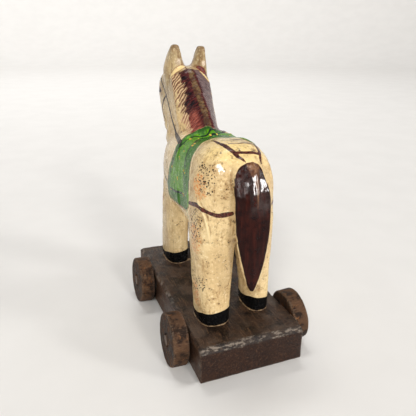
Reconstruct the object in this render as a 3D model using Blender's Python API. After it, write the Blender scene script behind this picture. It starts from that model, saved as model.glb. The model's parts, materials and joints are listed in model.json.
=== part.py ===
"""A hand-carved wooden horse on a plank with four loose wheels, painted and worn.

Metres, +Z up. The horse looks along +Y. The floor is z = 0, where the wheels stand, and the origin
is on the floor under the middle of the whole toy: the nose reaches past the plank's front end, so
the plank's own middle lies a little behind the origin.
"""

import math

import bmesh
import bpy
from mathutils import Matrix, Vector

MM = 0.001

# The plank that the horse stands on
BASE_LENGTH = 143.4 * MM
BASE_WIDTH = 66.6 * MM
BASE_THICKNESS = 22.4 * MM
REAR_CHAMFER = 2.8 * MM  # knife cut along the top rear edge
SIDE_CHAMFER = 1.8 * MM  # worn top edge on the left
FRONT_CHAMFER = 1.5 * MM
PIECE_GAP = 0.3 * MM  # between two pieces that touch

# Wheels and axles
WHEEL_RADIUS = 16.5 * MM
WHEEL_THICKNESS = 10 * MM
WHEEL_EDGE = 0.9 * MM  # worn corner of the tread
WHEEL_GAP = 0.9 * MM  # between the plank and the wheel that leans the most
WHEEL_SIDES = 48
AXLE_RADIUS = 3.2 * MM
AXLE_SIDES = 24
AXLE_BELOW_TOP = 8.2 * MM  # from the plank's top to the middle of the axles
AXLE_PROUD = 0.4 * MM  # how far an axle's end stands out of its wheels
BORE_CLEARANCE = 0.9 * MM  # the wheels are loose on the axles, so each one leans
REAR_AXLE_INSET = 27.1 * MM  # from the plank's rear end
REAR_AXLE_SKEW = 1.2  # degrees by which the rear axle's right end lies further back
FRONT_AXLE_INSET = 37.2 * MM  # from the plank's front end
# How far the top of each wheel leans in towards the plank, in degrees
WHEEL_LEANS = {
    "wheel_front_left": 2.5,
    "wheel_front_right": 3.0,
    "wheel_rear_left": 2.5,
    "wheel_rear_right": 4.0,
}

# The horse, carved as one. Its forms are given in 158ths of its height, which are millimetres at
# this height, measured from the middle of the plank's top.
HORSE_HEIGHT = 158 * MM  # from the plank to the ear tips
UNIT = HORSE_HEIGHT / 158
NOSE_REACH = 77 * UNIT  # from the plank's middle to the front of the face
RIDGE_HALF_WIDTH = 1.4 * UNIT  # of the flat strip along the mane
CARVED_GRAIN = 0.9 * UNIT  # size of the cells in which the carved forms are merged
SMOOTHING_COUNT = 5  # rounds of smoothing that rub the cuts into each other
SMOOTHING_STRENGTH = 0.5
HORSE_TRIANGLES = 6800
RING_POINTS = 40
THROAT_POINTS = 5  # steps round each front corner of the neck
# How square each form is cut: 2 is round, and 10 is nearly a box
BELLY_SQUARENESS = 4.2
LEG_SQUARENESS = 2.7
THROAT_SQUARENESS = 2.6
HEAD_SQUARENESS = 3.0
EAR_SQUARENESS = 2.3
CARVED_SHARP_ANGLE = 40  # degrees between faces that meet in a sharp edge
TURNED_SHARP_ANGLE = 30
NEARLY_NOTHING = 1e-6  # metres, shorter than any real edge

# Where things lie
MIDDLE_Y = (BASE_LENGTH / 2 - NOSE_REACH) / 2  # the plank's middle, seen from the origin
REAR_AXLE_Y = MIDDLE_Y - BASE_LENGTH / 2 + REAR_AXLE_INSET
FRONT_AXLE_Y = MIDDLE_Y + BASE_LENGTH / 2 - FRONT_AXLE_INSET


def wheel_centre_height(lean):
    """Height of a leaning wheel's middle when the inner edge of its tread touches the floor."""
    tread_half_width = WHEEL_THICKNESS / 2 - WHEEL_EDGE
    return WHEEL_RADIUS * math.cos(lean) + tread_half_width * math.sin(lean)


LEANS = {name: math.radians(lean) for name, lean in WHEEL_LEANS.items()}
SKEWS = {"front": 0.0, "rear": -math.radians(REAR_AXLE_SKEW)}
AXLE_YS = {"front": FRONT_AXLE_Y, "rear": REAR_AXLE_Y}
AXLE_Z = sum(wheel_centre_height(lean) for lean in LEANS.values()) / len(LEANS)
BASE_TOP = AXLE_Z + AXLE_BELOW_TOP
STEEPEST = max(LEANS.values())
# From the plank's side to the wheels' outermost edges: the wheel that leans the most clears the
# plank's top edge by the gap
WHEEL_STANDOFF = (
    WHEEL_GAP
    + WHEEL_THICKNESS * math.cos(STEEPEST)
    + WHEEL_RADIUS * math.sin(STEEPEST)
    + AXLE_BELOW_TOP * math.tan(STEEPEST)
)

COLOURS = {
    "cream_paint": ((0.58, 0.47, 0.29), 0.45),
    "dark_stain": ((0.052, 0.034, 0.028), 0.55),
    "end_grain": ((0.075, 0.045, 0.032), 0.65),
    "dowel_wood": ((0.16, 0.09, 0.05), 0.6),
}


def material(name):
    """A plain Principled material with the colour and roughness listed for it."""
    made = bpy.data.materials.get(name)
    if made is None:
        made = bpy.data.materials.new(name)
        made.use_nodes = True
        shader = made.node_tree.nodes["Principled BSDF"]
        colour, roughness = COLOURS[name]
        shader.inputs["Base Color"].default_value = (*colour, 1)
        shader.inputs["Roughness"].default_value = roughness
        shader.inputs["Metallic"].default_value = 0
    return made


def new_object(name, bm, material_name):
    """Turns a bmesh into an object of its own, with its faces pointing out."""
    bmesh.ops.recalc_face_normals(bm, faces=bm.faces)
    mesh = bpy.data.meshes.new(name)
    bm.to_mesh(mesh)
    bm.free()
    obj = bpy.data.objects.new(name, mesh)
    bpy.context.scene.collection.objects.link(obj)
    mesh.materials.append(material(material_name))
    return obj


def settled_mesh(obj):
    """The object's mesh with its modifiers worked in."""
    depsgraph = bpy.context.evaluated_depsgraph_get()
    return bpy.data.meshes.new_from_object(obj.evaluated_get(depsgraph))


def loft(bm, rings):
    """A closed skin over rings of points, which all have the same number of points."""
    rows = [[bm.verts.new(point) for point in ring] for ring in rings]
    count = len(rows[0])
    for low, high in zip(rows, rows[1:]):
        for i in range(count):
            j = (i + 1) % count
            bm.faces.new((low[i], low[j], high[j], high[i]))
    bm.faces.new(list(reversed(rows[0])))
    bm.faces.new(rows[-1])


def rounded(angle, power):
    """Cosine and sine of an angle, pushed outwards towards the corners of a square."""
    cosine, sine = math.cos(angle), math.sin(angle)
    x = math.copysign(abs(cosine) ** (2 / power), cosine)
    y = math.copysign(abs(sine) ** (2 / power), sine)
    return x, y


def angles():
    """The angles of the points around a ring."""
    return [2 * math.pi * i / RING_POINTS for i in range(RING_POINTS)]


def upright_ring(y, middle, above, below, half_width, squareness, x=0):
    """A ring across the trunk, as round over the back as asked and square under the belly."""
    ring = []
    for angle in angles():
        top = math.sin(angle) > 0
        across, up = rounded(angle, squareness if top else BELLY_SQUARENESS)
        height = middle + up * (above if top else below)
        ring.append(Vector((x + across * half_width, y, height)) * UNIT)
    return ring


def level_ring(z, x, y, half_width, half_depth, squareness):
    """A level ring around a leg, an ear or the head."""
    ring = []
    for angle in angles():
        across, along = rounded(angle, squareness)
        ring.append(Vector((x + across * half_width, y + along * half_depth, z)) * UNIT)
    return ring


def neck_ring(z, crest, throat, half_width):
    """A level ring through neck and mane: a narrow flat strip and two facets at the rear."""
    poll, poll_facet, widening = 137, 9, 0.6  # each facet is wider the lower it lies on the neck
    depth = throat - crest
    facet = min(poll_facet + widening * max(poll - z, 0), 0.45 * depth)
    corner = min(poll_facet, 0.3 * depth)
    side = [
        (RIDGE_HALF_WIDTH / UNIT, crest),
        (0.45 * half_width, crest + 0.37 * facet),
        (0.89 * half_width, crest + facet),
        (half_width, crest + facet + 0.25 * corner),
        (half_width, throat - corner),
    ]
    for step in range(1, THROAT_POINTS):
        across, along = rounded(math.pi / 2 * step / THROAT_POINTS, THROAT_SQUARENESS)
        side.append((across * half_width, throat - corner + along * corner))
    outline = side + [(-x, y) for x, y in reversed(side)]
    return [Vector((x, y, z)) * UNIT for x, y in outline]


def head_ring(z, jaw, face, half_width):
    """A level ring through the head, squarish towards the face."""
    middle, half_depth = (jaw + face) / 2, (face - jaw) / 2
    return level_ring(z, 0, middle, half_width, half_depth, HEAD_SQUARENESS)


def tail_ring(z, outer, inner, half_width, x):
    """A level ring around the tail: two facets that meet in a ridge down its outer face."""
    edge = outer + 0.17 * half_width
    back = 0.93 * half_width
    outline = [(0, outer), (half_width, edge), (back, inner), (-back, inner), (-half_width, edge)]
    return [Vector((x + across, y, z)) * UNIT for across, y in outline]


def carve_trunk(bm):
    """Rump, barrel, shoulders and chest, from the rear to the front."""
    sections = [(-55, 80, 12, 14, 9, 2.5, -0.6), (-53.6, 80, 20, 22, 16, 2.5, -0.8)]
    sections += [(-49, 80, 26.5, 28, 21.2, 2.5, -1.0), (-41, 80, 29.4, 29, 24.3, 2.5, -1.2)]
    sections += [(-30, 80, 30, 28, 24.8, 2.5, -1.2), (-20, 79, 28.8, 27.5, 23.6, 3.0, -0.8)]
    sections += [(-8, 79, 27.4, 28, 22, 3.6, -0.3), (8, 79, 28.2, 28, 21.4, 3.6, 0)]
    sections += [(22, 78, 29, 28, 20.4, 2.9, 0), (36, 76, 30, 28, 18.8, 2.4, 0)]
    sections += [(46, 73, 30, 28, 17.4, 2.3, 0), (54, 70, 29, 25, 16, 2.3, 0)]
    sections += [(60, 67, 26.5, 21.5, 14.4, 2.3, 0), (64, 66, 22, 17, 11.2, 2.2, 0)]
    sections += [(66.4, 66, 15, 11.5, 7.2, 2.1, 0), (67.6, 66, 6, 5, 3, 2, 0)]
    loft(bm, [upright_ring(*section) for section in sections])


def carve_legs(bm):
    """Four straight legs, deeper than they are wide, each cut a little differently."""
    hind_left = [(-3, -14.3, -39.3, 9.7, 13.0), (8, -14.4, -39.2, 9.8, 13.1)]
    hind_left += [(30, -14.2, -39.0, 11.0, 13.8), (48, -13.9, -38.8, 12.1, 14.8)]
    hind_left += [(65, -13.2, -38.4, 13.0, 15.6), (80, -12.2, -37.4, 13.2, 15.4)]
    hind_left += [(94, -10.0, -36.6, 10.6, 12.6)]
    hind_right = [(-3, 17.2, -34.4, 7.1, 12.3), (8, 17.1, -34.4, 7.2, 12.3)]
    hind_right += [(30, 15.8, -35.0, 8.6, 12.9), (48, 13.3, -36.4, 11.0, 13.6)]
    hind_right += [(65, 11.6, -37.8, 12.0, 14.2), (80, 10.4, -37.8, 12.2, 14.0)]
    hind_right += [(94, 8.4, -37.0, 10.2, 12.0)]
    fore_left = [(-3, -10.4, 48.0, 8.4, 14.4), (10, -10.4, 48.0, 8.4, 14.4)]
    fore_left += [(40, -9.6, 47.2, 8.6, 14.2), (62, -8.5, 46.0, 8.8, 14.6), (84, -6.2, 44.0, 7.8, 12.0)]
    fore_right = [(-3, 11.0, 46.4, 8.0, 13.8), (10, 11.0, 46.4, 8.0, 13.8)]
    fore_right += [(40, 10.0, 46.6, 8.6, 14.0), (62, 8.7, 46.0, 8.8, 14.6), (84, 6.2, 44.0, 7.8, 12.0)]
    for leg in (hind_left, hind_right, fore_left, fore_right):
        loft(bm, [level_ring(*section, LEG_SQUARENESS) for section in leg])


def carve_neck(bm):
    """Neck with the mane's ridge, rising to the poll between the ears."""
    crest_foot_y, crest_foot_z = -3, 111.7  # where the mane's ridge starts behind the withers
    crest_rise = 0.873  # how much the ridge climbs for each step forward
    throats = [(92, 60, 14.5), (100, 57, 14), (108, 56, 13.8), (116, 58, 13.7), (124, 61, 13.6)]
    throats += [(130, 62, 13.6), (136, 62, 13.3), (140, 60, 13.0)]
    rings = []
    for z, throat, half_width in throats:
        crest = crest_foot_y + (z - crest_foot_z) / crest_rise
        rings.append(neck_ring(z, crest, throat, half_width))
    rings.append(neck_ring(143, 34, 58, 11.5))
    rings.append(neck_ring(144.6, 39, 54, 8))
    loft(bm, rings)


def carve_head(bm):
    """Head tucked down like a chess knight's, its face upright and flat in front."""
    face = NOSE_REACH / UNIT
    sections = [(93.6, 64.5, face - 4, 6.4), (96.5, 61.5, face - 1.4, 8.6), (103, 57, face, 10.0)]
    sections += [(110, 51, face, 11.6), (118, 46, face - 0.2, 13.2), (127, 44, face - 0.8, 14.4)]
    sections += [(133, 44, face - 3.6, 14.4), (138, 46, face - 10, 13.2), (142, 48, 62, 11)]
    loft(bm, [head_ring(*section) for section in sections])


def carve_ears(bm):
    """Two blunt ears, cut flat at the tips, with a notch between them. The left one is thicker."""
    left = [(128, -7.6, 49.5, 6.6, 9.6), (138, -7.9, 49.6, 6.8, 9.8), (144, -7.6, 49.2, 6.8, 9.6)]
    left += [(150, -8.0, 48.0, 5.0, 8.2), (155, -8.5, 45.6, 3.4, 5.6), (158.8, -8.7, 43.2, 2.2, 2.9)]
    right = [(128, 8.6, 47.5, 5.6, 9.0), (138, 9.0, 47.0, 5.7, 8.8), (144, 9.0, 46.4, 5.1, 8.0)]
    right += [(150, 9.1, 44.8, 3.9, 6.2), (154, 9.1, 43.0, 3.1, 4.4), (157.6, 9.1, 41.4, 2.4, 2.8)]
    for ear in (left, right):
        loft(bm, [level_ring(*section, EAR_SQUARENESS) for section in ear])


def carve_tail(bm):
    """Tail, fast to the rump at its root and hanging free behind the hind legs."""
    x = 1.2  # the tail hangs a little to the right of the middle
    sections = [(104, -53.5, -44, 4.0, 0.4), (101.5, -55.6, -45, 7.0, 0.6), (97, -58, -47, 9.2, 0.8)]
    sections += [(91, -61, -51.5, 10.2, 1.0), (85, -63.6, -57.8, 10.7, x), (76, -65.2, -60.2, 11, x)]
    sections += [(64, -65.8, -61, 10.7, x), (54, -65.9, -61.2, 9.6, x), (45, -66, -61.4, 7.8, x)]
    sections += [(37, -66, -61.6, 5.4, x), (31, -66, -62, 2.9, x), (27.6, -65.8, -62.6, 1.2, x)]
    loft(bm, [tail_ring(*section) for section in sections])


def make_horse():
    """The horse as one solid: its forms merged, rubbed soft and cut flat under the hooves."""
    bm = bmesh.new()
    for carve in (carve_trunk, carve_legs, carve_neck, carve_head, carve_ears, carve_tail):
        carve(bm)
    horse = new_object("horse", bm, "cream_paint")
    merge = horse.modifiers.new("Merge", "REMESH")
    merge.mode = "VOXEL"
    merge.voxel_size = CARVED_GRAIN
    rub = horse.modifiers.new("Rub", "SMOOTH")
    rub.factor = SMOOTHING_STRENGTH
    rub.iterations = SMOOTHING_COUNT
    merged_faces = len(settled_mesh(horse).polygons)
    thin = horse.modifiers.new("Thin out", "DECIMATE")
    thin.ratio = HORSE_TRIANGLES / (2 * merged_faces)
    bm = bmesh.new()
    bm.from_mesh(settled_mesh(horse))
    horse.modifiers.clear()
    cut = bmesh.ops.bisect_plane(
        bm,
        geom=bm.verts[:] + bm.edges[:] + bm.faces[:],
        plane_co=(0, 0, 0),
        plane_no=(0, 0, 1),
        clear_inner=True,
        dist=NEARLY_NOTHING / 10,
    )
    soles = [item for item in cut["geom_cut"] if isinstance(item, bmesh.types.BMEdge)]
    bmesh.ops.holes_fill(bm, edges=soles)
    bmesh.ops.triangulate(bm, faces=bm.faces)
    bmesh.ops.recalc_face_normals(bm, faces=bm.faces)
    bm.to_mesh(horse.data)
    bm.free()
    horse.data.shade_smooth()
    horse.data.set_sharp_from_angle(angle=math.radians(CARVED_SHARP_ANGLE))
    horse.location = (0, MIDDLE_Y, BASE_TOP + PIECE_GAP)
    return horse


def round_bar(name, end, radius, length):
    """A round bar across the toy, along the axle at one of its ends."""
    bm = bmesh.new()
    bmesh.ops.create_cone(
        bm,
        cap_ends=True,
        segments=AXLE_SIDES,
        radius1=radius,
        radius2=radius,
        depth=length,
        matrix=Matrix.Rotation(math.pi / 2, 4, "Y"),
    )
    bar = new_object(name, bm, "dowel_wood")
    bar.location = (0, AXLE_YS[end], AXLE_Z)
    bar.rotation_euler = (0, 0, SKEWS[end])
    return bar


def bevel_top_edge(bm, direction, offset):
    """Cuts off the block's top edge on the side that the direction points to."""
    reach = max(vert.co.dot(direction) for vert in bm.verts) - NEARLY_NOTHING
    top = max(vert.co.z for vert in bm.verts) - NEARLY_NOTHING
    chosen = []
    for edge in bm.edges:
        if all(vert.co.z > top and vert.co.dot(direction) > reach for vert in edge.verts):
            chosen.append(edge)
    bmesh.ops.bevel(bm, geom=chosen, offset=offset, segments=1, affect="EDGES")


def make_base():
    """The plank, with its top edges knocked off and a hole through it for each axle."""
    bm = bmesh.new()
    bmesh.ops.create_cube(bm, size=1)
    bmesh.ops.scale(bm, vec=(BASE_WIDTH, BASE_LENGTH, BASE_THICKNESS), verts=bm.verts)
    bevel_top_edge(bm, Vector((0, -1, 0)), REAR_CHAMFER)
    bevel_top_edge(bm, Vector((-1, 0, 0)), SIDE_CHAMFER)
    bevel_top_edge(bm, Vector((0, 1, 0)), FRONT_CHAMFER)
    base = new_object("base", bm, "dark_stain")
    base.location = (0, MIDDLE_Y, BASE_TOP - BASE_THICKNESS / 2)
    for end in AXLE_YS:
        cutter = round_bar(f"{end}_axle_hole", end, AXLE_RADIUS + PIECE_GAP, BASE_WIDTH * 1.5)
        cutter.hide_render = True
        cutter.display_type = "WIRE"
        hole = base.modifiers.new(cutter.name, "BOOLEAN")
        hole.operation = "DIFFERENCE"
        hole.solver = "EXACT"
        hole.object = cutter
    return base


def turned(name, profile, sides, material_name):
    """A ring turned about the X axis from a closed profile of (x, radius) points. The flats of
    its sides lie at the profile's radius, and one of them faces straight down."""
    bm = bmesh.new()
    rows = []
    for side in range(sides):
        angle = 2 * math.pi * (side + 0.5) / sides
        across = math.sin(angle) / math.cos(math.pi / sides)
        up = math.cos(angle) / math.cos(math.pi / sides)
        rows.append([bm.verts.new((x, radius * across, radius * up)) for x, radius in profile])
    for side in range(sides):
        here, there = rows[side], rows[(side + 1) % sides]
        for i in range(len(profile)):
            j = (i + 1) % len(profile)
            bm.faces.new((here[i], here[j], there[j], there[i]))
    obj = new_object(name, bm, material_name)
    obj.data.shade_smooth()
    obj.data.set_sharp_from_angle(angle=math.radians(TURNED_SHARP_ANGLE))
    return obj


def wheel_centre(name):
    """Where a wheel's middle is. Every wheel's outermost edge reaches equally far out."""
    lean = LEANS[name]
    side = -1 if name.endswith("left") else 1
    reach = BASE_WIDTH / 2 + WHEEL_STANDOFF
    x = reach - WHEEL_THICKNESS / 2 * math.cos(lean) - WHEEL_RADIUS * math.sin(lean)
    end = name.split("_")[1]
    y = AXLE_YS[end] + side * x * math.tan(SKEWS[end])
    return Vector((side * x, y, wheel_centre_height(lean)))


def make_wheel(name):
    """A disc sawn from a round stick, with a loose hole for its axle."""
    half, bore = WHEEL_THICKNESS / 2, AXLE_RADIUS + BORE_CLEARANCE
    profile = [(-half + WHEEL_EDGE, WHEEL_RADIUS), (half - WHEEL_EDGE, WHEEL_RADIUS)]
    profile += [(half, WHEEL_RADIUS - WHEEL_EDGE), (half, bore), (-half, bore)]
    profile += [(-half, WHEEL_RADIUS - WHEEL_EDGE)]
    wheel = turned(name, profile, WHEEL_SIDES, "end_grain")
    side = -1 if name.endswith("left") else 1
    wheel.location = wheel_centre(name)
    wheel.rotation_euler = (0, -side * LEANS[name], SKEWS[name.split("_")[1]])
    return wheel


def make_axle(end):
    """A dowel through the plank, long enough to carry the wheels on both of its ends."""
    reach = max(abs(wheel_centre(wheel).x) for wheel in LEANS if end in wheel)
    length = 2 * (reach + WHEEL_THICKNESS / 2 + AXLE_PROUD) / math.cos(SKEWS[end])
    axle = round_bar(f"axle_{end}", end, AXLE_RADIUS, length)
    axle.data.shade_smooth()
    axle.data.set_sharp_from_angle(angle=math.radians(TURNED_SHARP_ANGLE))
    return axle


def main():
    for obj in list(bpy.data.objects):
        bpy.data.objects.remove(obj)
    make_base()
    make_horse()
    for end in AXLE_YS:
        make_axle(end)
    for name in LEANS:
        make_wheel(name)


main()
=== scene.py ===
# %% [markdown]
# # A carved and painted horse on wheels
# The real toy is cut from one block of soft wood, painted cream, varnished, and glued to a stained
# plank that rolls on four discs sawn from a stick. The solids come from CAD and give the exact
# places. This script dresses them: it rebuilds each solid from small faces, carves the finer
# forms into it, and paints it with materials that are made of nodes alone.

# %% Load the solids as a fixed frame
import json
import math

import bmesh
import bpy
import numpy as np
from mathutils import Matrix, Vector
from mathutils.bvhtree import BVHTree


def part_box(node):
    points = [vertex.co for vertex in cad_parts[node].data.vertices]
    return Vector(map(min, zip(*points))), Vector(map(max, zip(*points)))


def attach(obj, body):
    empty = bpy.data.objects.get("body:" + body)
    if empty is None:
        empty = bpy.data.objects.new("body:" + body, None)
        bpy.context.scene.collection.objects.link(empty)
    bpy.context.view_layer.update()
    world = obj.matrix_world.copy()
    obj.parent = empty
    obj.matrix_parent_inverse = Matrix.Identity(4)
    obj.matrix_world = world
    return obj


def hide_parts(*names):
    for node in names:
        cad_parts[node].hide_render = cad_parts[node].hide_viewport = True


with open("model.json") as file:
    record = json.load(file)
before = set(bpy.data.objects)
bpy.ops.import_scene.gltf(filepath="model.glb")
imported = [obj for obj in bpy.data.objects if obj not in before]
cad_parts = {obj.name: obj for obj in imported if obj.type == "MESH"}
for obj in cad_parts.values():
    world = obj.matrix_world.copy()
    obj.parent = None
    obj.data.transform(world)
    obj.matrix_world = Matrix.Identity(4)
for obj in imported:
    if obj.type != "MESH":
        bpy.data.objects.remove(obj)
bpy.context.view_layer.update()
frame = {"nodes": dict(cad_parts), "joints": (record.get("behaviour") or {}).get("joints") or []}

MM = 0.001
print("solids:", sorted(frame["nodes"]))

# %% [markdown]
# ## The camera
# The view is the photograph's own: from behind, from the horse's left and from above. Its lens and
# place were solved from the plank's corners and the rims of the three wheels that show. A camera
# looks along its own -Z, so the matrix is built from three directions: right, up and backwards.

# %% Camera
CAMERA_PLACE = Vector((-0.1078, -0.2754, 0.1936))
CAMERA_YAW, CAMERA_PITCH, CAMERA_ROLL = math.radians(21.345), math.radians(20.973), math.radians(0.249)
LENS, SENSOR = 40.314, 36  # mm

ahead = Vector((
    math.sin(CAMERA_YAW) * math.cos(CAMERA_PITCH),
    math.cos(CAMERA_YAW) * math.cos(CAMERA_PITCH),
    -math.sin(CAMERA_PITCH),
))
level = Vector((math.cos(CAMERA_YAW), -math.sin(CAMERA_YAW), 0))
upward = level.cross(ahead)
right = math.cos(CAMERA_ROLL) * level + math.sin(CAMERA_ROLL) * upward
upward = math.cos(CAMERA_ROLL) * upward - math.sin(CAMERA_ROLL) * level
camera = bpy.data.objects.new("camera", bpy.data.cameras.new("camera"))
camera.data.lens, camera.data.sensor_width = LENS, SENSOR
camera.matrix_world = Matrix.Translation(CAMERA_PLACE) @ Matrix((right, upward, -ahead)).transposed().to_4x4()
bpy.context.scene.collection.objects.link(camera)
bpy.context.scene.camera = camera
print("camera", round(CAMERA_PLACE.length, 3), "m from the origin")

# %% [markdown]
# ## Working on a mesh as numbers
# Fine carving is easiest when every vertex is a row of numbers. These helpers read a mesh into
# NumPy in millimetres, which suit a toy of this size, and write it back. A value stored on the
# vertices, called an attribute, is what the materials read later.

# %% Helpers for meshes
def rows_of(items, key, width, kind=np.float32):
    """A row of numbers for each of a mesh's vertices or edges."""
    flat = np.empty(len(items) * width, kind)
    items.foreach_get(key, flat)
    return flat.reshape(-1, width)


def places_of(mesh):
    """Where the vertices are, in millimetres."""
    return rows_of(mesh.vertices, "co", 3).astype(float) / MM


def facings_of(mesh):
    """The direction in which the surface faces at each vertex."""
    return rows_of(mesh.vertices, "normal", 3).astype(float)


def set_places(mesh, places):
    """Moves the vertices to these places, in millimetres."""
    mesh.vertices.foreach_set("co", (places * MM).astype(np.float32).ravel())
    mesh.update()


def store(mesh, name, values):
    """Keeps one number for each vertex under a name that a material can read."""
    made = mesh.attributes.new(name, "FLOAT", "POINT")
    made.data.foreach_set("value", np.asarray(values, np.float32))


def edges_of(mesh):
    """The two vertices of every edge."""
    return rows_of(mesh.edges, "vertices", 2, np.int32)


def spread(values, edges, rounds):
    """Each value becomes the mean of its neighbours' values, as many times as asked."""
    here, there = np.r_[edges[:, 0], edges[:, 1]], np.r_[edges[:, 1], edges[:, 0]]
    share = 1 / np.maximum(np.bincount(here, minlength=len(values)), 1)
    for _ in range(rounds):
        columns = [np.bincount(here, column[there], len(values)) * share for column in values.T]
        values = np.stack(columns, 1)
    return values


def rubbed(places, edges, rounds):
    """Smooths a surface without shrinking it: a push inwards, then a slightly longer one outwards."""
    for _ in range(rounds):
        places = places + 0.5 * (spread(places, edges, 1) - places)
        places = places - 0.53 * (spread(places, edges, 1) - places)
    return places


def step(value, low, high):
    """0 below low, 1 above high, and a smooth rise between them."""
    t = np.clip((value - low) / (high - low), 0, 1)
    return t * t * (3 - 2 * t)


def new_piece(name, mesh):
    """An object for a mesh whose places are already those of the toy."""
    mesh.name = name
    obj = bpy.data.objects.new(name, mesh)
    bpy.context.scene.collection.objects.link(obj)
    return obj


def settled(obj):
    """The object's mesh with its modifiers worked in, and the modifiers gone."""
    bpy.context.view_layer.update()
    depsgraph = bpy.context.evaluated_depsgraph_get()
    mesh = bpy.data.meshes.new_from_object(obj.evaluated_get(depsgraph))
    obj.modifiers.clear()
    return mesh


def rebuilt(node, name, grain):
    """A copy of a solid's surface, made again of small even faces as big as the grain, in mm."""
    mesh = frame["nodes"][node].data.copy()
    bm = bmesh.new()
    bm.from_mesh(mesh)
    bmesh.ops.remove_doubles(bm, verts=bm.verts, dist=0.001 * MM)
    bm.to_mesh(mesh)
    bm.free()
    obj = new_piece(name, mesh)
    cells = obj.modifiers.new("even faces", "REMESH")
    cells.mode = "VOXEL"
    cells.voxel_size = grain * MM
    obj.data = settled(obj)
    obj.data.name = name
    obj.data.materials.clear()
    print(name, len(obj.data.vertices), "vertices")
    return obj


# %% [markdown]
# ## The horse's surface
# The solid from CAD is faceted, because it is kept light. The voxel remesh covers it with even
# faces under a millimetre wide, and a few rounds of rubbing melt the facets away, as sandpaper
# does on the real one. The soles stay flat, because they are glued to the plank.

# %% Rebuild and rub the horse
HORSE_GRAIN, HORSE_RUBS = 0.8, 14
horse = rebuilt("horse", "carved_horse", HORSE_GRAIN)
edges = edges_of(horse.data)
skin = rubbed(places_of(horse.data), edges, HORSE_RUBS)
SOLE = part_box("horse")[0].z / MM
skin[:, 2] = np.maximum(skin[:, 2], SOLE)
set_places(horse.data, skin)
facing = facings_of(horse.data)
print("horse, mm:", skin.min(0).round(1), skin.max(0).round(1))

# %% [markdown]
# ## Marks on the surface
# A painted line on the real horse is one pull of a brush over the wood. Here it is a path of a
# few points, pressed onto the surface, and each vertex keeps its distance from the edge of the
# paint: negative in the paint, positive outside. A distance stays smooth between vertices, so the
# edge that the material cuts from it is sharp at any zoom.

# %% Helpers for marks
FAR = 9.0  # mm, beyond which a distance doesn't matter
surface = BVHTree.FromPolygons(skin.tolist(), [tuple(face.vertices) for face in horse.data.polygons])


def pressed(path, spacing=0.4):
    """Points close together along a path, eased round its bends and pressed onto the horse."""
    path = np.array(path, float)
    reach = np.r_[0, np.cumsum(np.linalg.norm(np.diff(path, axis=0), axis=1))]
    count = max(int(reach[-1] / spacing), 2)
    at = np.linspace(0, reach[-1], count)
    dense = np.stack([np.interp(at, reach, path[:, axis]) for axis in range(3)], 1)
    for _ in range(12):
        dense[1:-1] = (dense[:-2] + 2 * dense[1:-1] + dense[2:]) / 4
    on_wood = np.array([surface.find_nearest(point)[0] for point in dense.tolist()])
    return on_wood, np.interp(at, reach, np.arange(len(path)))


def brush_line(path, half_widths):
    """Distance from the edge of a line whose half width, in mm, is given at each of its points."""
    line, position = pressed(path)
    half = np.interp(position, np.arange(len(path)), half_widths)
    near = np.all((skin > line.min(0) - FAR) & (skin < line.max(0) + FAR), axis=1)
    gaps = np.linalg.norm(skin[near][:, None] - line[None], axis=2) - half
    distance = np.full(len(skin), FAR)
    distance[near] = np.minimum(gaps.min(1), FAR)
    return distance


def both_sides(path, half_widths):
    """The same line on the left and, mirrored, on the right."""
    mirrored = [(-x, y, z) for x, y, z in path]
    return np.minimum(brush_line(path, half_widths), brush_line(mirrored, half_widths))


def outline_distance(flat, outline):
    """Distance from a closed outline in a flat chart: negative inside it."""
    distance, inside = np.full(len(flat), 1e3), np.zeros(len(flat), bool)
    for start, end in zip(outline, np.roll(outline, -1, axis=0)):
        side, offset = end - start, flat - start
        along = np.clip(offset @ side / max(side @ side, 1e-9), 0, 1)
        distance = np.minimum(distance, np.linalg.norm(offset - along[:, None] * side, axis=1))
        crosses = (start[1] > flat[:, 1]) != (end[1] > flat[:, 1])
        rise = side[1] if abs(side[1]) > 1e-9 else 1e-9
        inside ^= crosses & (flat[:, 0] < start[0] + (flat[:, 1] - start[1]) / rise * side[0])
    return np.where(inside, -distance, distance)


def blobs(centres):
    """1 in the middle of round spots, falling to 0 at their rims. A spot is x, y, z and radius."""
    strength = np.zeros(len(skin))
    for *centre, radius in centres:
        strength = np.maximum(strength, 1 - np.linalg.norm(skin - np.array(centre), axis=1) / radius)
    return np.clip(strength, 0, 1)


# %% [markdown]
# ## The saddle blanket
# The blanket is paint, laid over the back and down both sides. Its outline is drawn in a chart
# of the trunk: the angle round the body, from 0 along the spine to 180 under the belly, and
# the place along the body. An inner outline gives the dark line that frames the field.

# %% Blanket outlines
TRUNK_HEIGHT = 105.0
TRUNK_GIRTH = 25.0  # mm, a mean radius that turns angles into lengths

left_rear = [(-115, -30), (-107, -34), (-72, -34.5), (-50, -30), (-38, -27.5), (-22, -22.5), (-5, -16)]
right_rear = [(4, -20.5), (8, -26), (13, -31.5), (17, -36), (24, -37.5), (50, -36.5), (72, -35)]
right_rear += [(107, -34), (115, -30)]
right_low = [(125, -17), (133, -2), (138, 11), (144, 26), (146, 33)]
left_front = [(-3, -4.4), (-6, -2.2), (-11, 0.6), (-15, 2.7), (-22, 3.4), (-38, 2.5), (-53, 8.5)]
left_front += [(-84, 20.7), (-95, 24), (-121, 30.4), (-128, 33)]
right_front = [(128, 33), (121, 30.4), (95, 24), (84, 20.7), (53, 7.5), (38, 0), (25, -3.3), (18, -1.6)]
right_front += [(12.5, -0.6), (6, -4.5), (3, -6.6)]
left_low = [(-146, 33), (-144, 26), (-138, 11), (-133, -2), (-125, -17)]
blanket_outline = left_rear + right_rear + right_low + right_front + [(0, -6.2)] + left_front + left_low

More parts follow.
